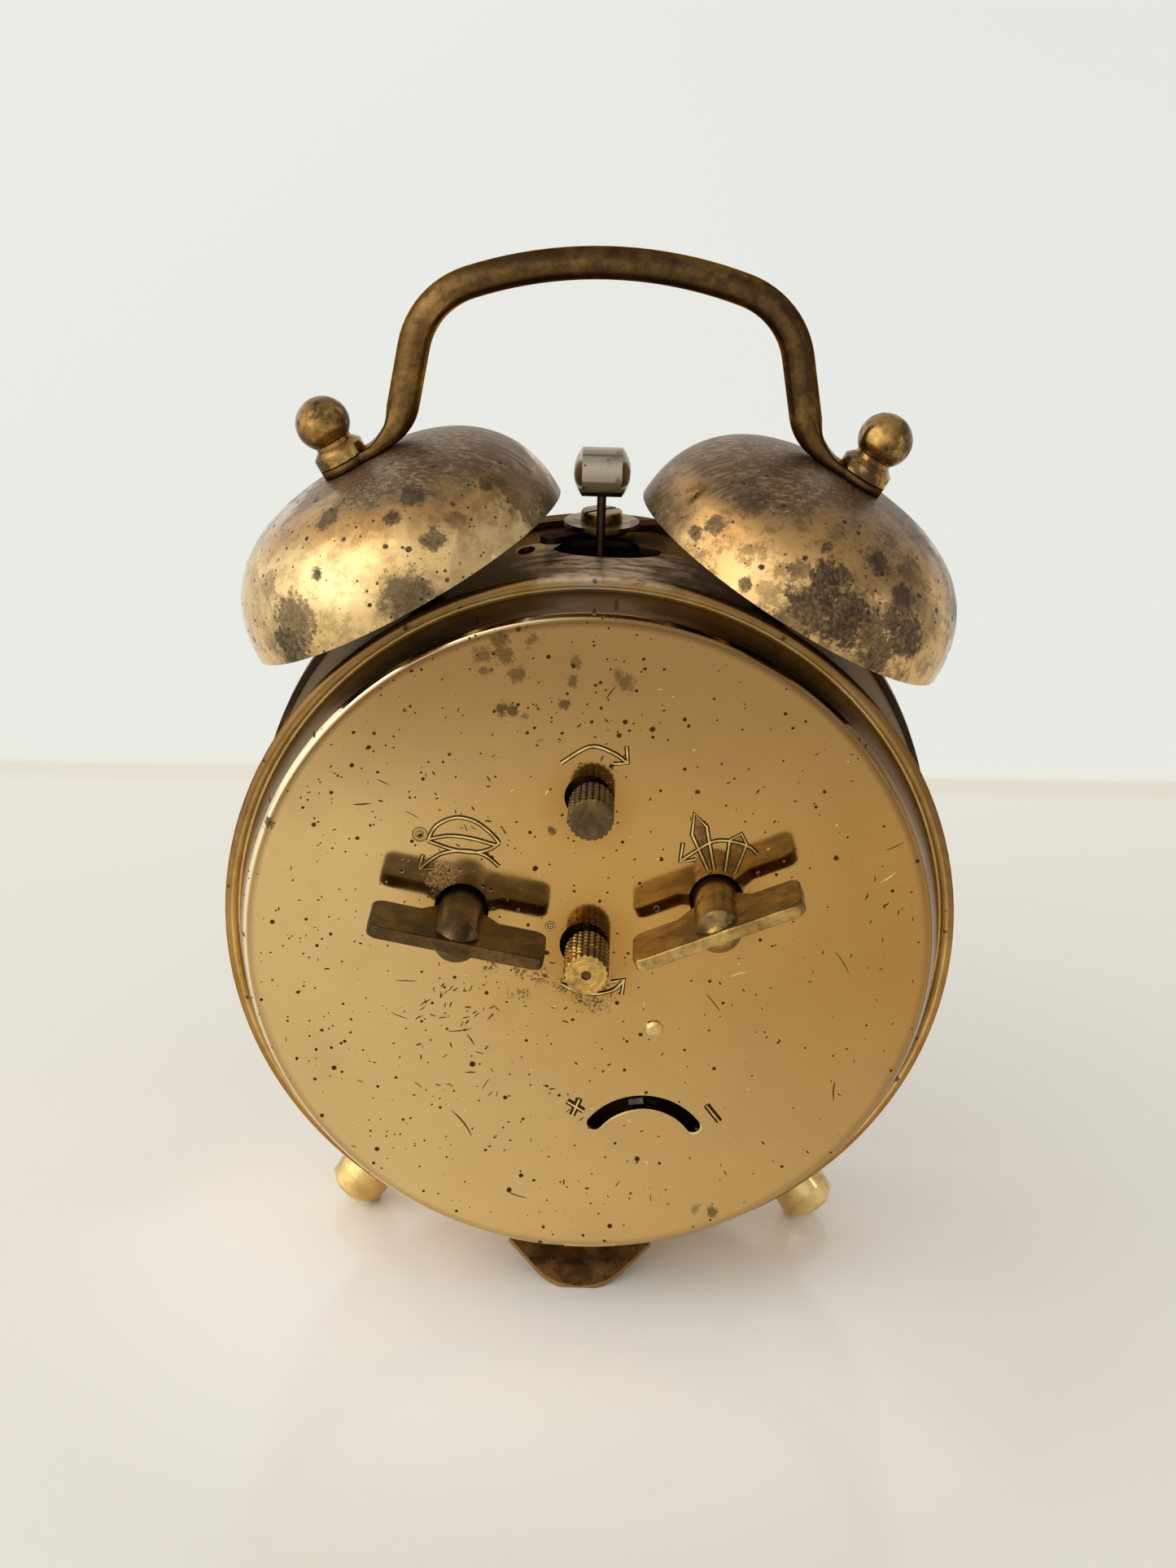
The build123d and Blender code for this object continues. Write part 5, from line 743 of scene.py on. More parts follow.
def handleStations(look, topZ):
    # centre, run, width, height and squareness of each section, from the middle to one end
    rod = look["rodRadius"]
    topCentre = Vector((0, topZ - rod - look["topRadius"]))
    shoulderAt = 90 - look["topHalfAngle"]
    shoulderCentre = onCircle(topCentre, look["topRadius"] - look["shoulderRadius"], shoulderAt)
    legAt = 90 - look["legAngle"]
    topSteps, bendSteps, eyeSteps = look["topSteps"], look["bendSteps"], look["eyeSteps"]
    stations = []
    for n in range(topSteps + 1):
        angle = 90 - look["topHalfAngle"] * n / topSteps
        stations.append((onCircle(topCentre, look["topRadius"], angle), angle - 90))
    for n in range(1, bendSteps + 1):
        angle = shoulderAt + (legAt - shoulderAt) * n / bendSteps
        stations.append((onCircle(shoulderCentre, look["shoulderRadius"], angle), angle - 90))
    legStart, legWay = stations[-1][0], wayAt(-look["legAngle"])
    footWay = wayAt(-look["crownTurn"])
    away = wayAt(90 - look["crownTurn"])
    rodLine = away * (look["crownDistance"] + rod)
    gap = rodLine - legStart
    toCorner = gap.dot(away) / legWay.dot(away)
    bend = look["legAngle"] - look["crownTurn"]
    trim = look["footRadius"] * math.tan(math.radians(bend / 2))
    bendStart = legStart + legWay * (toCorner - trim)
    bendCentre = onCircle(bendStart, look["footRadius"], 90 - look["legAngle"])
    for n in range(1, look["legSteps"] + 1):
        stations.append((legStart.lerp(bendStart, n / look["legSteps"]), -look["legAngle"]))
    sections = [(spot, turn, 2 * rod, 2 * rod, 2.0) for spot, turn in stations]
    foot = []
    for n in range(1, bendSteps + 1):
        angle = 270 - look["legAngle"] + bend * n / bendSteps
        foot.append((onCircle(bendCentre, look["footRadius"], angle), angle - 270,
                     look["footRadius"] * math.radians(bend) * n / bendSteps, None))
    start = (foot[-1][0] - rodLine).dot(footWay)
    bendRun = foot[-1][2]
    reach, wide = look["eyeRadius"], look["eyeStart"]
    along = [start + (wide - start) * n / bendSteps for n in range(1, bendSteps + 1)]
    along += [wide + (reach * 0.999 - wide) * math.sin(math.pi / 2 * n / eyeSteps)
              for n in range(1, eyeSteps + 1)]
    for s in along:
        foot.append((rodLine + footWay * s, -look["crownTurn"], bendRun + s - start, s))
    flatEnd = bendRun - start - look["flatTo"]
    for spot, turn, run, s in foot:
        # the under side keeps its line while the rod is beaten flat from above
        share = min(1.0, max(0.0, (run - look["flatFrom"]) / (flatEnd - look["flatFrom"])))
        share = share * share * (3 - 2 * share)
        height = 2 * rod + (look["flatThickness"] - 2 * rod) * share
        width = 2 * rod * (1 + look["flatSpread"] * share)
        if s is not None and s > wide:
            eye = 2 * math.sqrt(max(reach ** 2 - s ** 2, 0.01))
            width = max(eye, width) if s < 0 else eye
        lowered = onCircle(spot, height / 2 - rod, turn + 90)
        sections.append((lowered, turn, width, height, 2.0 + look["flatSquare"] * share))
    return sections


def addHandle(look):
    low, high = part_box("carry_handle")
    middleY = (low.y + high.y) / 2
    half = handleStations(look, (high.z - dialCentreZ) / mm)
    mirrored = [(Vector((-spot.x, spot.y)), -turn, width, height, square)
                for spot, turn, width, height, square in reversed(half[1:])]
    points = []
    around = look["around"]
    for spot, turn, width, height, square in mirrored + half:
        across = wayAt(turn + 90)
        for step in range(around):
            angle = 2 * math.pi * step / around
            c, s = math.cos(angle), math.sin(angle)
            side = math.copysign(abs(c) ** (2 / square), c) * width / 2
            rise = math.copysign(abs(s) ** (2 / square), s) * height / 2
            points.append(Vector(((spot.x + across.x * rise) * mm, middleY + side * mm,
                                  dialCentreZ + (spot.y + across.y * rise) * mm)))
    faces = ringFaces(len(points) // around, around)
    handle = addPiece("carry_handle_forged", points, faces, handleBrass, "clock", smooth=40)
    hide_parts("carry_handle")


addHandle(handleLook)
print("handle swept")


def paintMaterial(name, look):
    # enamel paint with faint clouds, another tone on the faces turned to the rear, on the dial a
    # dark painted shade for its back inside the case
    shader = newMaterial(name)
    cloud = shader.ramp(shader.noise(look["cloudSize"], 6.0, 0.6), 0.3, 0.75)
    colour = shader.blend(cloud, look["colour"], look["aged"])
    # painted shade: the faces turned to the rear take the backShade tone where one is given
    behind = shader.ramp(shader.axes("Normal")[1], 0.1, 0.4)
    colour = shader.blend(behind, colour, look.get("backShade", look["aged"]))
    shader.join(colour, shader.surface.inputs["Base Color"])
    shader.surface.inputs["Roughness"].default_value = look["rough"]
    shader.join(shader.bump(shader.noise(0.4, 3.0), look["grain"], 0.03),
                shader.surface.inputs["Normal"])
    return shader.material


def glassMaterial(look):
    # clear crystal with a faint smear
    shader = newMaterial("crystalGlass")
    surface = shader.surface
    surface.inputs["Base Color"].default_value = look["colour"]
    surface.inputs["Transmission Weight"].default_value = 1.0
    surface.inputs["IOR"].default_value = 1.46
    smear = shader.ramp(shader.noise(look["smearSize"], 5.0), 0.5, 0.8, 0.0, look["smear"])
    shader.join(smear, surface.inputs["Roughness"])
    return shader.material


dialPaint = paintMaterial("dialPaint", {"colour": tone(238, 232, 214), "aged": tone(222, 210, 184),
                                        "backShade": tone(46, 38, 28),
                                        "cloudSize": 16.0, "rough": 0.45, "grain": 0.08})
numeralPaint = paintMaterial("numeralPaint", {"colour": tone(34, 32, 30), "aged": tone(48, 44, 40),
                                              "cloudSize": 6.0, "rough": 0.4, "grain": 0.05})
handPaint = paintMaterial("handPaint", {"colour": tone(24, 23, 22), "aged": tone(40, 37, 34),
                                        "cloudSize": 5.0, "rough": 0.3, "grain": 0.05})
dress(dialPaint, "dial_plate")
dress(handPaint, "minute_hand", "hour_hand")
dress(glassMaterial({"colour": (0.98, 0.99, 0.99, 1), "smearSize": 12.0, "smear": 0.04}),
      "crystal")

dialLook = {"numeralRadius": 30.0, "numeralHeight": 7.2, "trackRadius": 36.2, "tickLength": 1.5,
            "hourTickLength": 2.6, "tickWidth": 0.28, "hourTickWidth": 0.8, "thickness": 0.06,
            "gap": 0.01}


def addNumerals(look):
    # the twelve hour numbers, as thin raised print
    for hour in range(1, 13):
        text = bpy.data.curves.new("hourNumber", "FONT")
        text.body = str(hour)
        text.size = look["numeralHeight"] * mm
        text.align_x = "CENTER"
        text.align_y = "CENTER"
        text.extrude = look["thickness"] * mm / 2
        holder = bpy.data.objects.new("hourNumber", text)
        scene.collection.objects.link(holder)
        angle = math.radians(hour * 30)
        holder.location = onDial(look["numeralRadius"] * math.sin(angle),
                                 look["numeralRadius"] * math.cos(angle),
                                 look["thickness"] / 2 + look["gap"])
        holder.rotation_euler = (math.radians(90), 0, 0)
        bpy.context.view_layer.update()
        mesh = bpy.data.meshes.new_from_object(holder)
        mesh.transform(holder.matrix_world)
        bpy.data.objects.remove(holder)
        mesh.materials.clear()
        mesh.materials.append(numeralPaint)
        numeral = bpy.data.objects.new(f"dial_numeral_{hour}", mesh)
        scene.collection.objects.link(numeral)
        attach(numeral, "clock")


def addMinuteTrack(look):
    # sixty strokes round the numbers, the hour strokes wider
    points, faces = [], []
    for minute in range(60):
        angle = math.radians(minute * 6)
        onHour = minute % 5 == 0
        length = look["hourTickLength"] if onHour else look["tickLength"]
        half = (look["hourTickWidth"] if onHour else look["tickWidth"]) / 2
        out = Vector((math.sin(angle), math.cos(angle)))
        side = Vector((math.cos(angle), -math.sin(angle)))
        corners = [out * (look["trackRadius"] - length) - side * half,
                   out * (look["trackRadius"] - length) + side * half,
                   out * look["trackRadius"] + side * half,
                   out * look["trackRadius"] - side * half]
        first = len(points)
        for proud in (look["gap"], look["gap"] + look["thickness"]):
            points += [onDial(corner.x, corner.y, proud) for corner in corners]
        faces += [[first + 4, first + 5, first + 6, first + 7]]
        for n in range(4):
            m = (n + 1) % 4
            faces.append([first + n, first + m, first + 4 + m, first + 4 + n])
    addPiece("minute_track", points, faces, numeralPaint, "clock")


addNumerals(dialLook)
addMinuteTrack(dialLook)
print("dial printed")


# knurled setting knobs
knobBrass = brassMaterial("knobBrass", {
    "clean": tone(232, 190, 108), "warm": tone(208, 164, 86), "dull": tone(86, 66, 38),
    "stain": tone(56, 44, 30), "patchSize": 3.0, "patchFrom": 0.32, "patchTo": 0.52,
    "patchAmount": 0.9, "mottleSize": 0.9, "mottle": 0.5, "roughClean": 0.24,
    "roughDull": 0.42, "dullMetal": 0.92, "grainSize": 0.25, "grain": 0.14, "rearWornAndLit": 0.85,
    "dot": (onCover(0, 0, 7.6), 0.62)})
darkKnobBrass = brassMaterial("darkKnobBrass", {
    "clean": tone(134, 110, 76), "warm": tone(112, 92, 62), "dull": tone(80, 65, 45),
    "stain": tone(56, 46, 34), "patchSize": 3.0, "patchFrom": 0.36, "patchTo": 0.58,
    "patchAmount": 0.85, "mottleSize": 1.0, "mottle": 0.4, "roughClean": 0.3,
    "roughDull": 0.5, "dullMetal": 0.85, "grainSize": 0.25, "grain": 0.14})


def wave(turns):
    # triangle wave: 1 on a ridge, 0 in a groove
    return abs((turns % 1.0) * 2 - 1)


def addKnob(name, node, body, material, look):
    # a round knob with crossed knurling, lathed about the fore-and-aft axis of its node
    low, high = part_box(node)
    centreX, centreZ = (low.x + high.x) / 2, (low.z + high.z) / 2
    radius = (high.x - low.x) / 2
    around = look["columns"] * look["perColumn"]
    edge = look["edge"] * mm
    knurled = high.y - low.y - 2 * edge
    rows = int(knurled / (look["rowStep"] * mm))
    profile = [(low.y, radius * share, 0.0) for share in look["start"]]
    for row in range(rows + 1):
        profile.append((low.y + edge + row / rows * knurled, radius, 1.0))
    for share, drop in look["end"]:
        profile.append((high.y - drop * mm, radius * share, 0.5 if share > 0.9 else 0.0))
    points = []
    for y, ringRadius, knurl in profile:
        for step in range(around):
            angle = 2 * math.pi * step / around
            across = look["columns"] * step / around
            along = (y - low.y) / (look["pitch"] * mm)
            ridge = min(wave(across), wave(along))
            depth = look["depth"] * mm * knurl * (1 - min(1.0, ridge * look["steep"]))
            reach = ringRadius - depth
            points.append(Vector((centreX + reach * math.cos(angle), y,
                                  centreZ + reach * math.sin(angle))))
    faces = ringFaces(len(profile), around)
    knob = addPiece(name, points, faces, material, body, smooth=24)
    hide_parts(node)


knurl = {"columns": 21, "perColumn": 6, "rowStep": 0.12, "pitch": 0.95, "depth": 0.36,
         "steep": 1.7, "edge": 0.3, "start": (0.3, 0.86)}
addKnob("time_knob_knurled", "time_set_knob", "hand_setting", knobBrass, dict(knurl, end=[
    (0.95, 0.06), (0.90, 0.0), (0.78, 0.0), (0.76, 0.03), (0.72, 0.03), (0.70, 0.0),
    (0.52, 0.0), (0.50, 0.03), (0.46, 0.03), (0.44, 0.0), (0.22, 0.0), (0.18, 0.25),
    (0.06, 0.35)]))
addKnob("alarm_knob_knurled", "alarm_set_knob", "alarm_setting", darkKnobBrass,
        dict(knurl, end=[(0.97, 0.10), (0.93, 0.03), (0.86, 0.0), (0.4, 0.0), (0.05, 0.0)]))
print("knobs knurled")


def markMaterial(look):
    # stamped marks of the cover: a painted highlight along the top of each stroke and painted shade
    # at its sides
    shader = newMaterial("markBrassPaintedLight")
    top = shader.ramp(shader.axes("Normal")[1], look["sideFrom"], look["sideTo"])
    worn = shader.ramp(shader.noise(look["wearSize"], 4.0), 0.4, 0.65)
    bright = shader.blend(worn, look["bright"], look["worn"])
    shader.join(shader.blend(top, look["dark"], bright), shader.surface.inputs["Base Color"])
    shader.surface.inputs["Metallic"].default_value = 1.0
    shader.surface.inputs["Roughness"].default_value = look["rough"]
    shader.join(shader.bump(shader.noise(0.2, 3.0), 0.2, 0.02),
                shader.surface.inputs["Normal"])
    return shader.material


# bright is the painted highlight on the crests of the strokes, dark the painted shade on their
# sides
markBrassPaintedLight = markMaterial({"bright": tone(248, 218, 152), "worn": tone(212, 172, 102),
                          "dark": tone(58, 42, 20), "sideFrom": 0.90, "sideTo": 0.98,
                          "wearSize": 1.4, "rough": 0.22})
bladeBrass = brassMaterial("bladeBrass", {
    "clean": tone(186, 144, 84), "warm": tone(160, 118, 64), "dull": tone(120, 88, 50),
    "stain": tone(78, 56, 36), "patchSize": 1.6, "patchFrom": 0.4, "patchTo": 0.6,
    "patchAmount": 0.8, "mottleSize": 0.6, "mottle": 0.5, "roughClean": 0.25,
    "roughDull": 0.4, "dullMetal": 0.95, "grainSize": 0.2, "grain": 0.25})


def smoothLine(points, steps=10):
    # a round line through a few places
    line = []
    for n in range(len(points) - 1):
        before = Vector(points[max(n - 1, 0)])
        start, end = Vector(points[n]), Vector(points[n + 1])
        after = Vector(points[min(n + 2, len(points) - 1)])
        for step in range(steps):
            t = step / steps
            line.append(0.5 * (2 * start + (end - before) * t
                               + (2 * before - 5 * start + 4 * end - after) * t * t
                               + (3 * start - before - 3 * end + after) * t * t * t))
    return line + [Vector(points[-1])]


def ringLine(centre, radius, steps=28):
    # a full circle as a line
    return [Vector((centre[0] + radius * math.cos(2 * math.pi * n / steps),
                    centre[1] + radius * math.sin(2 * math.pi * n / steps)))
            for n in range(steps + 1)]


def arcLine(centre, radius, start, end, steps=16):
    # an arc over a centre, its angles measured from upright
    turns = [math.radians(start + (end - start) * n / steps) for n in range(steps + 1)]
    return [Vector((centre[0] + radius * math.sin(turn), centre[1] + radius * math.cos(turn)))
            for turn in turns]


# in mm above the cover, and the rise of a stroke's shoulders as a share of its height
markShape = {"gap": 0.004, "bladeProud": 0.012, "shoulder": 0.93}


def addStrokes(name, lines, look):
    # each line becomes a low rounded ridge on the cover
    points, faces = [], []
    crest, shoulder = look["crest"], markShape["shoulder"]
    section = [(-1.0, 0.0), (-crest, shoulder), (0.0, 1.0), (crest, shoulder), (1.0, 0.0)]
    for line in lines:
        line = [Vector(place) for place in line]
        first = len(points)
        for n, place in enumerate(line):
            way = (line[min(n + 1, len(line) - 1)] - line[max(n - 1, 0)]).normalized()
            side = Vector((-way.y, way.x))
            for across, rise in section:
                spot = place + side * across * look["width"] / 2
                proud = markShape["gap"] + rise * look["height"]
                points.append(onCover(spot.x, spot.y, proud))
        for n in range(len(line) - 1):
            for m in range(len(section) - 1):
                a = first + n * len(section) + m
                faces.append([a, a + 1, a + 1 + len(section), a + len(section)])
        last = first + (len(line) - 1) * len(section)
        faces.append(list(range(first, first + len(section))))
        faces.append(list(range(last, last + len(section))))
    return addPiece(name, points, faces, markBrassPaintedLight, "clock", smooth=22)


def addBlade(name, outline):
    # the filled inside of a blade of the hands mark
    middle = sum((Vector(place) for place in outline), Vector((0, 0))) / len(outline)
    proud = markShape["bladeProud"]
    points = [onCover(right, up, proud) for right, up in outline]
    points.append(onCover(middle.x, middle.y, proud))
    faces = [[n, (n + 1) % len(outline), len(outline)] for n in range(len(outline))]
    addPiece(name, points, faces, bladeBrass, "clock")


stroke = {"width": 0.60, "height": 0.16, "crest": 0.36}
fineStroke = {"width": 0.26, "height": 0.06, "crest": 0.3}
deepStroke = {"width": 0.86, "height": 0.24, "crest": 0.22}
slotGlintStroke = {"width": 0.32, "height": 0.05, "crest": 0.8}
markStrokes = {"small_ring": fineStroke, "bell_knob": fineStroke, "plus_sign": deepStroke,
               "minus_sign": deepStroke, "slot_edge_glint": slotGlintStroke}
bellCorners = ((-19.41, 13.38), (-10.86, 13.40))
longBlade = [(14.13, 10.75), (12.04, 15.26), (12.23, 17.97), (13.71, 16.35), (14.88, 10.77)]
shortBlade = [(16.16, 10.58), (16.57, 14.73), (17.90, 15.58), (18.60, 14.20), (17.40, 10.54)]
marks = {
    "alarm_set_arrow": [
        smoothLine([(-3.74, 23.74), (-0.41, 25.89), (2.2, 25.3), (4.06, 24.05)]),
        [(3.92, 26.07), (4.14, 24.01), (2.41, 23.87)]],
    "alarm_wind_arrow": [
        smoothLine([(-10.86, 10.37), (-12.75, 11.84), (-15.37, 12.24), (-17.99, 11.66),
                    (-20.41, 9.64)]),
        [(-19.97, 11.56), (-20.49, 9.64), (-18.73, 9.78)]],
    "bell_mark": [
        smoothLine([bellCorners[0], (-18.38, 15.34), (-16.15, 16.45), (-13.91, 16.09),
                    (-12.04, 14.76), bellCorners[1]]),
        smoothLine([bellCorners[1], (-12.01, 12.55), (-13.87, 12.09), (-16.49, 12.40),
                    bellCorners[0]]),
        smoothLine([(-19.19, 13.63), (-16.88, 14.11), (-14.26, 13.88), (-11.27, 13.10)])],
    "bell_knob": [ringLine((-20.35, 14.15), 0.85), ringLine((-20.35, 14.15), 0.42)],
    "time_wind_arrow": [
        smoothLine([(19.89, 13.04), (18.72, 14.00), (16.28, 14.60), (14.42, 14.38),
                    (12.61, 13.19), (10.80, 11.80)]),
        [(11.01, 14.14), (10.73, 11.72), (12.58, 12.07)]],
    "hands_mark": [longBlade, shortBlade],
    "time_set_arrow": [
        smoothLine([(-3.03, -4.78), (-1.10, -5.76), (1.20, -5.97), (3.28, -5.40),
                    (4.50, -4.10)]),
        [(2.98, -4.32), (4.57, -3.89), (4.33, -5.99)]],
    "small_ring": [ringLine((-4.56, 2.84), 0.5, 18), ringLine((-4.56, 2.84), 0.2, 12)],
    "plus_sign": [[(-1.96, -20.74), (0.09, -22.02)], [(-0.46, -20.34), (-1.31, -22.64)]],
    "minus_sign": [[(15.29, -20.67), (17.00, -22.87)]],
    # painted highlight: a bright ridge along the edge of the slot and round its end, not a stamped
    # mark
    "slot_edge_glint": [arcLine((7.6, -28.2), 6.56, -54, -8),
                  arcLine((13.77, -23.66), 1.0, 60, 200)]}
for markName, lines in marks.items():
    addStrokes("cover_" + markName, lines, markStrokes.get(markName, stroke))
addBlade("cover_long_blade", longBlade)
addBlade("cover_short_blade", shortBlade)
print("marks stamped:", len(marks))

softenEdges(0.18, "front_feet", "time_key_hub", "alarm_key_hub", "lever_washer")
softenEdges(0.07, "hammer_head")


def scratchMaterial(name, look):
    # the inside of a scratch: darker than the polish about it, or brighter as a painted glint
    shader = newMaterial(name)
    depth = shader.ramp(shader.noise(0.8, 4.0), 0.35, 0.65)
    shader.join(shader.blend(depth, look["colour"], look["faint"]),
                shader.surface.inputs["Base Color"])
    shader.surface.inputs["Metallic"].default_value = 0.9
    shader.surface.inputs["Roughness"].default_value = look["rough"]
    shader.join(shader.bump(shader.noise(0.2, 3.0), 0.3, 0.02), shader.surface.inputs["Normal"])
    return shader.material


# pieces of one scratch along its length, and the width of its tips as a share of its middle
scratchShape = {"steps": 6, "tip": 0.15}


def addScratches(name, look, material):
    # thin tapered strokes: the long ones at their places, the short ones in loose groups
    chance = random.Random(look["seed"])
    strokes = [(Vector(start), Vector(end)) for start, end in look["placed"]]
    for right, up, spread, count, length, turn in look["groups"]:
        for n in range(count):
            middle = Vector((right + chance.gauss(0, spread), up + chance.gauss(0, spread)))
            way = math.radians(turn + chance.gauss(0, look["turnSpread"]))
            reach = length * chance.uniform(0.5, 1.4) / 2
            half = Vector((math.cos(way), math.sin(way))) * reach
            strokes.append((middle - half, middle + half))
    points, faces = [], []
    steps, tip = scratchShape["steps"], scratchShape["tip"]
    for start, end in strokes:
        if max(start.length, end.length) > look["reach"]:
            continue
        way = (end - start).normalized()
        side = Vector((-way.y, way.x))
        bow = side * (end - start).length * chance.uniform(-0.08, 0.08)
        wide = look["width"] * chance.uniform(0.6, 1.3)
        first = len(points)
        for n in range(steps + 1):
            share = n / steps
            spot = start.lerp(end, share) + bow * math.sin(math.pi * share)
            full = tip + (1 - tip) * math.sin(math.pi * share) ** 0.6
            half = side * wide * full / 2
            for place in (spot - half, spot + half):
                points.append(onCover(place.x, place.y, look["proud"]))
        for n in range(steps):
            a = first + 2 * n
            faces.append([a, a + 1, a + 3, a + 2])
    return addPiece(name, points, faces, material, "clock")


addScratches("cover_scratches", {
    "seed": 7, "width": 0.17, "proud": 0.008, "reach": 40.6, "turnSpread": 34,
    "placed": [((-16.4, -22.5), (-13.7, -26.2)), ((-23.9, -9.3), (-21.7, -10.2)),
               ((-9.4, -33.6), (-6.6, -34.6)), ((-20.3, -8.4), (-18.9, -7.4)),
               ((-16.9, -11.7), (-13.9, -11.2)), ((-14.5, -12.0), (-13.5, -13.5)),
               ((-14.7, -17.3), (-13.3, -17.2)), ((-12.6, -19.7), (-11.6, -17.9)),
               ((-21.0, -18.8), (-20.0, -19.6)), ((-23.4, -5.1), (-20.6, -5.1)),
               ((29.8, 0.8), (31.9, -2.5)), ((35.0, 14.0), (37.2, 15.1)),
               ((31.0, -16.8), (31.0, -19.6)), ((14.5, -5.4), (16.5, -7.9)),
               ((-28.3, 17.7), (-26.2, 17.9)), ((-25.5, 21.0), (-23.9, 20.3)),
               ((1.3, 31.7), (2.5, 33.4)), ((-22.1, 17.0), (-20.5, 16.1))],
    "groups": [(-17.0, -6.5, 2.0, 16, 0.8, 60), (-13.0, -9.5, 2.2, 12, 1.0, 20),
               (-18.0, -18.0, 7.0, 22, 0.6, -20), (-26.0, 24.0, 8.0, 26, 0.5, 20),
               (4.0, -30.0, 6.0, 14, 0.8, 60), (22.0, -12.0, 9.0, 22, 0.5, -40),
               (24.0, 20.0, 9.0, 24, 0.5, 40), (-4.0, -12.0, 5.0, 12, 0.7, 10),
               (36.0, 4.0, 4.0, 16, 0.7, 70), (-34.0, 4.0, 5.0, 18, 0.5, 30),
               (-15.0, 15.0, 3.0, 14, 0.8, -60), (0.0, 27.0, 3.0, 8, 0.6, 80)]},
    scratchMaterial("scratchBrown", {"colour": tone(62, 42, 20), "faint": tone(104, 76, 40),
                                     "rough": 0.45}))
# real scratches whose near-white tone is a painted glint
addScratches("cover_fresh_glinting_scratches", {
    "seed": 19, "width": 0.12, "proud": 0.009, "reach": 40.6, "turnSpread": 30,
    "placed": [((34.7, 9.8), (36.6, 11.4)), ((17.3, -3.2), (19.5, -2.5))],
    "groups": [(10.0, 20.0, 16.0, 16, 0.5, 20), (-8.0, -24.0, 14.0, 14, 0.45, -30)]},
    scratchMaterial("scratchGlint", {"colour": tone(255, 240, 200), "faint": tone(240, 212, 150),
                                      "rough": 0.4}))
print("cover scratched")


def tableMaterial(look):
    # pale polished table with painted light about the clock's feet and painted shade along its far
    # edge; beyond its far edge the same floor shows the wall's tone, darker to the right as painted
    # shade, with a painted warm glow at its foot
    shader = newMaterial("tablePaint")
    surface = shader.surface
    place = shader.axes("Object")
    fromEdge = shader.math("MULTIPLY_ADD", place[0], -look["skew"], place[1])
    beyond = shader.ramp(fromEdge, look["edgeY"] - look["seam"], look["edgeY"], 1.0, 0.0)
    cloud = shader.ramp(shader.noise(look["cloudSize"], 3.0, 0.5), 0.3, 0.7)
    table = shader.blend(cloud, look["table"], look["tableWarm"])
    # painted light: a pale pool about the clock's feet lightens the table where the clock's shadow
    # falls
    near = shader.stain(look["nearPlace"], look["nearRadius"], 1.0, cloud, 0.1, 0.3)
    table = shader.blend(near, table, look["near"])
    # painted shade: a darker band along the table's far edge, at the foot of the wall
    lipFrom, lipTo = look["lipFromTo"]
    lip = shader.ramp(fromEdge, look["edgeY"] + lipFrom, look["edgeY"] + lipTo, 1.0, 0.0)
    table = shader.blend(lip, table, look["lip"])
    shader.join(shader.blend(beyond, table, look["wall"]), surface.inputs["Base Color"])
    surface.inputs["Roughness"].default_value = look["rough"]
    surface.inputs["IOR"].default_value = 1.42
    shader.join(shader.bump(shader.noise(60.0, 3.0, 0.5), 0.03, 0.2), surface.inputs["Normal"])
    even = shader.add("ShaderNodeEmission")
    # painted shade: the wall's tone is darker toward the right, away from the window
    across = shader.ramp(place[0], -look["wallWidth"], look["wallWidth"])
    wall = shader.blend(across, look["wallShadedRight"], look["wall"])
    # painted light: a warm glow along the foot of the wall
    glow = shader.ramp(fromEdge, look["edgeY"] - look["footHeight"], look["edgeY"], 0.0,
                       look["footAmount"])
    shader.join(shader.blend(glow, wall, look["wallFoot"]), even.inputs["Color"])
    path = shader.add("ShaderNodeLightPath")
    seen = shader.most([path.outputs["Is Camera Ray"], path.outputs["Is Glossy Ray"],
                        path.outputs["Is Transmission Ray"]])
    mix = shader.add("ShaderNodeMixShader")
    shader.join(shader.product(seen, beyond), mix.inputs[0])
    shader.join(surface.outputs[0], mix.inputs[1])
    shader.join(even.outputs[0], mix.inputs[2])
    shader.join(mix.outputs[0], shader.tree.nodes["Material Output"].inputs["Surface"])
    return shader.material


def addTable(look):
    # a large flat square under the clock
    half = look["size"]
    mesh = bpy.data.meshes.new("table")
    mesh.from_pydata([(-half, -half, 0), (half, -half, 0), (half, half, 0), (-half, half, 0)],
                     [], [(0, 1, 2, 3)])
    mesh.materials.append(tableMaterial(look))
    table = bpy.data.objects.new("table", mesh)
    scene.collection.objects.link(table)


addTable({"size": 6.0, "edgeY": -0.184, "skew": 0.036, "seam": 0.006,
          "table": tone(236, 233, 226), "tableWarm": tone(234, 230, 221),
          "near": tone(254, 253, 249), "nearPlace": (0, 0.0, 0), "nearRadius": 72.0,
          "lip": tone(231, 224, 210), "lipFromTo": (0.002, 0.012),
          "wall": tone(236, 237, 231), "wallFoot": tone(236, 235, 221), "footHeight": 0.016,
          "footAmount": 0.8, "wallShadedRight": tone(230, 231, 226), "wallWidth": 0.6,
          "cloudSize": 180.0, "rough": 0.13})


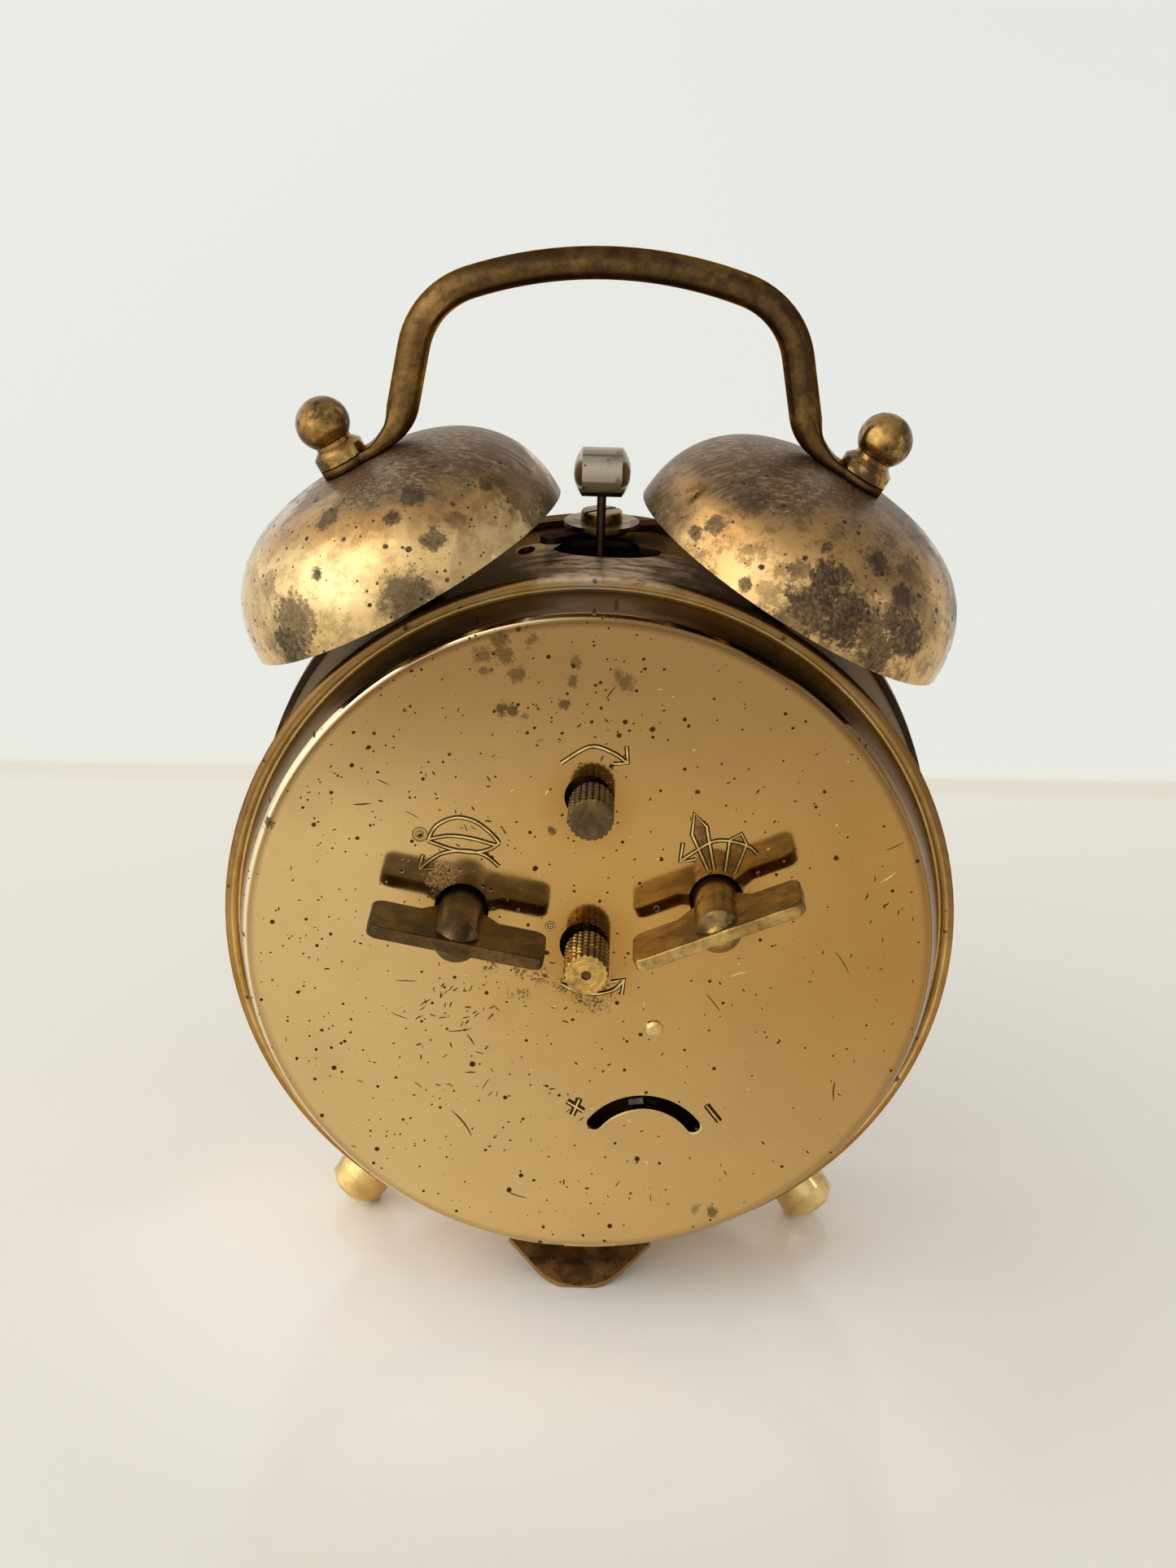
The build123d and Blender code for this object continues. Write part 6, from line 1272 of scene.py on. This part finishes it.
def addWorld(look):
    # soft room light with a window on the pale side, seen only in the polished metal
    world = bpy.data.worlds.new("room")
    scene.world = world
    shader = Shader(world)
    across, ahead, up = shader.axes("Generated")
    turn = shader.math("ARCTAN2", across, ahead)
    rise = shader.math("ARCSINE", up)
    bright = shader.ramp(across, *look["farFromTo"], look["farSide"], 1.0)
    bright = shader.product(bright, shader.ramp(up, *look["ceilingFromTo"], 1.0, look["ceiling"]))
    toWindow = shader.add("ShaderNodeVectorMath", operation="DOT_PRODUCT")
    shader.join(shader.coords.outputs["Generated"], toWindow.inputs[0])
    toWindow.inputs[1].default_value = Vector(look["window"]).normalized()
    glow = shader.ramp(toWindow.outputs["Value"], *look["glowFromTo"], 0.0, look["glow"])
    bright = shader.math("ADD", bright, glow)
    sill = shader.product(shader.ramp(rise, look["sillRise"] - 0.01, look["sillRise"]),
                          shader.ramp(across, *look["sillFromTo"], 1.0, 0.0))
    bright = shader.product(bright, shader.ramp(sill, 0.0, 1.0, 1.0, look["overSill"]))
    for azimuth, elevation, halfWidth, halfHeight, level in look["panes"]:
        pane = level
        for value, middle, half in ((turn, azimuth, halfWidth), (rise, elevation, halfHeight)):
            off = shader.math("ABSOLUTE", shader.math("SUBTRACT", value, math.radians(middle)))
            inside = shader.ramp(off, math.radians(half - look["paneSoft"]), math.radians(half),
                                 1.0, 0.0)
            pane = shader.product(inside, pane)
        bright = shader.math("MAXIMUM", bright, pane)
    background = shader.tree.nodes["Background"]
    shader.join(shader.blend(shader.ramp(across, -1.0, 1.0), look["dark"], look["pale"]),
                background.inputs["Color"])
    shader.join(shader.product(bright, look["strength"]), background.inputs["Strength"])


addWorld({"strength": 1.12, "window": (0.75, 0.50, 0.42), "glow": 0.55,
          "glowFromTo": (0.55, 0.98), "dark": tone(236, 233, 228), "pale": tone(255, 254, 250),
          "farSide": 0.74, "farFromTo": (-0.9, 0.2), "ceiling": 0.7,
          "ceilingFromTo": (0.55, 0.95), "sillRise": math.radians(9),
          "sillFromTo": (-0.55, -0.45), "overSill": 0.75, "paneSoft": 0.6,
          "panes": [(42, 3, 5, 8, 1.9), (53, 3, 2.4, 8, 1.9), (59, 2, 2.0, 9, 1.7),
                    (-68, 13, 5, 3, 3.0)]})


def addLamp(name, look):
    data = bpy.data.lights.new(name, "AREA")
    data.shape = "RECTANGLE"
    data.size, data.size_y = look["size"]
    data.energy = look["power"]
    data.color = look["colour"]
    lamp = bpy.data.objects.new(name, data)
    scene.collection.objects.link(lamp)
    lamp.location = look["place"]
    way = Vector(look["target"]) - Vector(look["place"])
    lamp.rotation_euler = way.to_track_quat("-Z", "Y").to_euler()


addLamp("windowLight", {"size": (2.4, 2.0), "power": 5.0, "colour": (1.0, 0.985, 0.95),
                        "place": (1.7, 1.0, 1.3), "target": (0, 0, 0.05)})


# the camera, as the photograph was taken
cameraLook = {"place": (-0.00235, 0.28463, 0.17096), "turn": (69.738, -1.498, -178.846),
              "lens": 37.36, "filmHeight": 24.0}


def addCamera(look):
    data = bpy.data.cameras.new("photoCamera")
    data.sensor_fit = "VERTICAL"
    data.sensor_height = look["filmHeight"]
    data.lens = look["lens"]
    data.clip_start = 0.01
    camera = bpy.data.objects.new("photoCamera", data)
    scene.collection.objects.link(camera)
    camera.location = look["place"]
    camera.rotation_euler = [math.radians(angle) for angle in look["turn"]]
    scene.camera = camera


addCamera(cameraLook)
print("table, light and camera set")
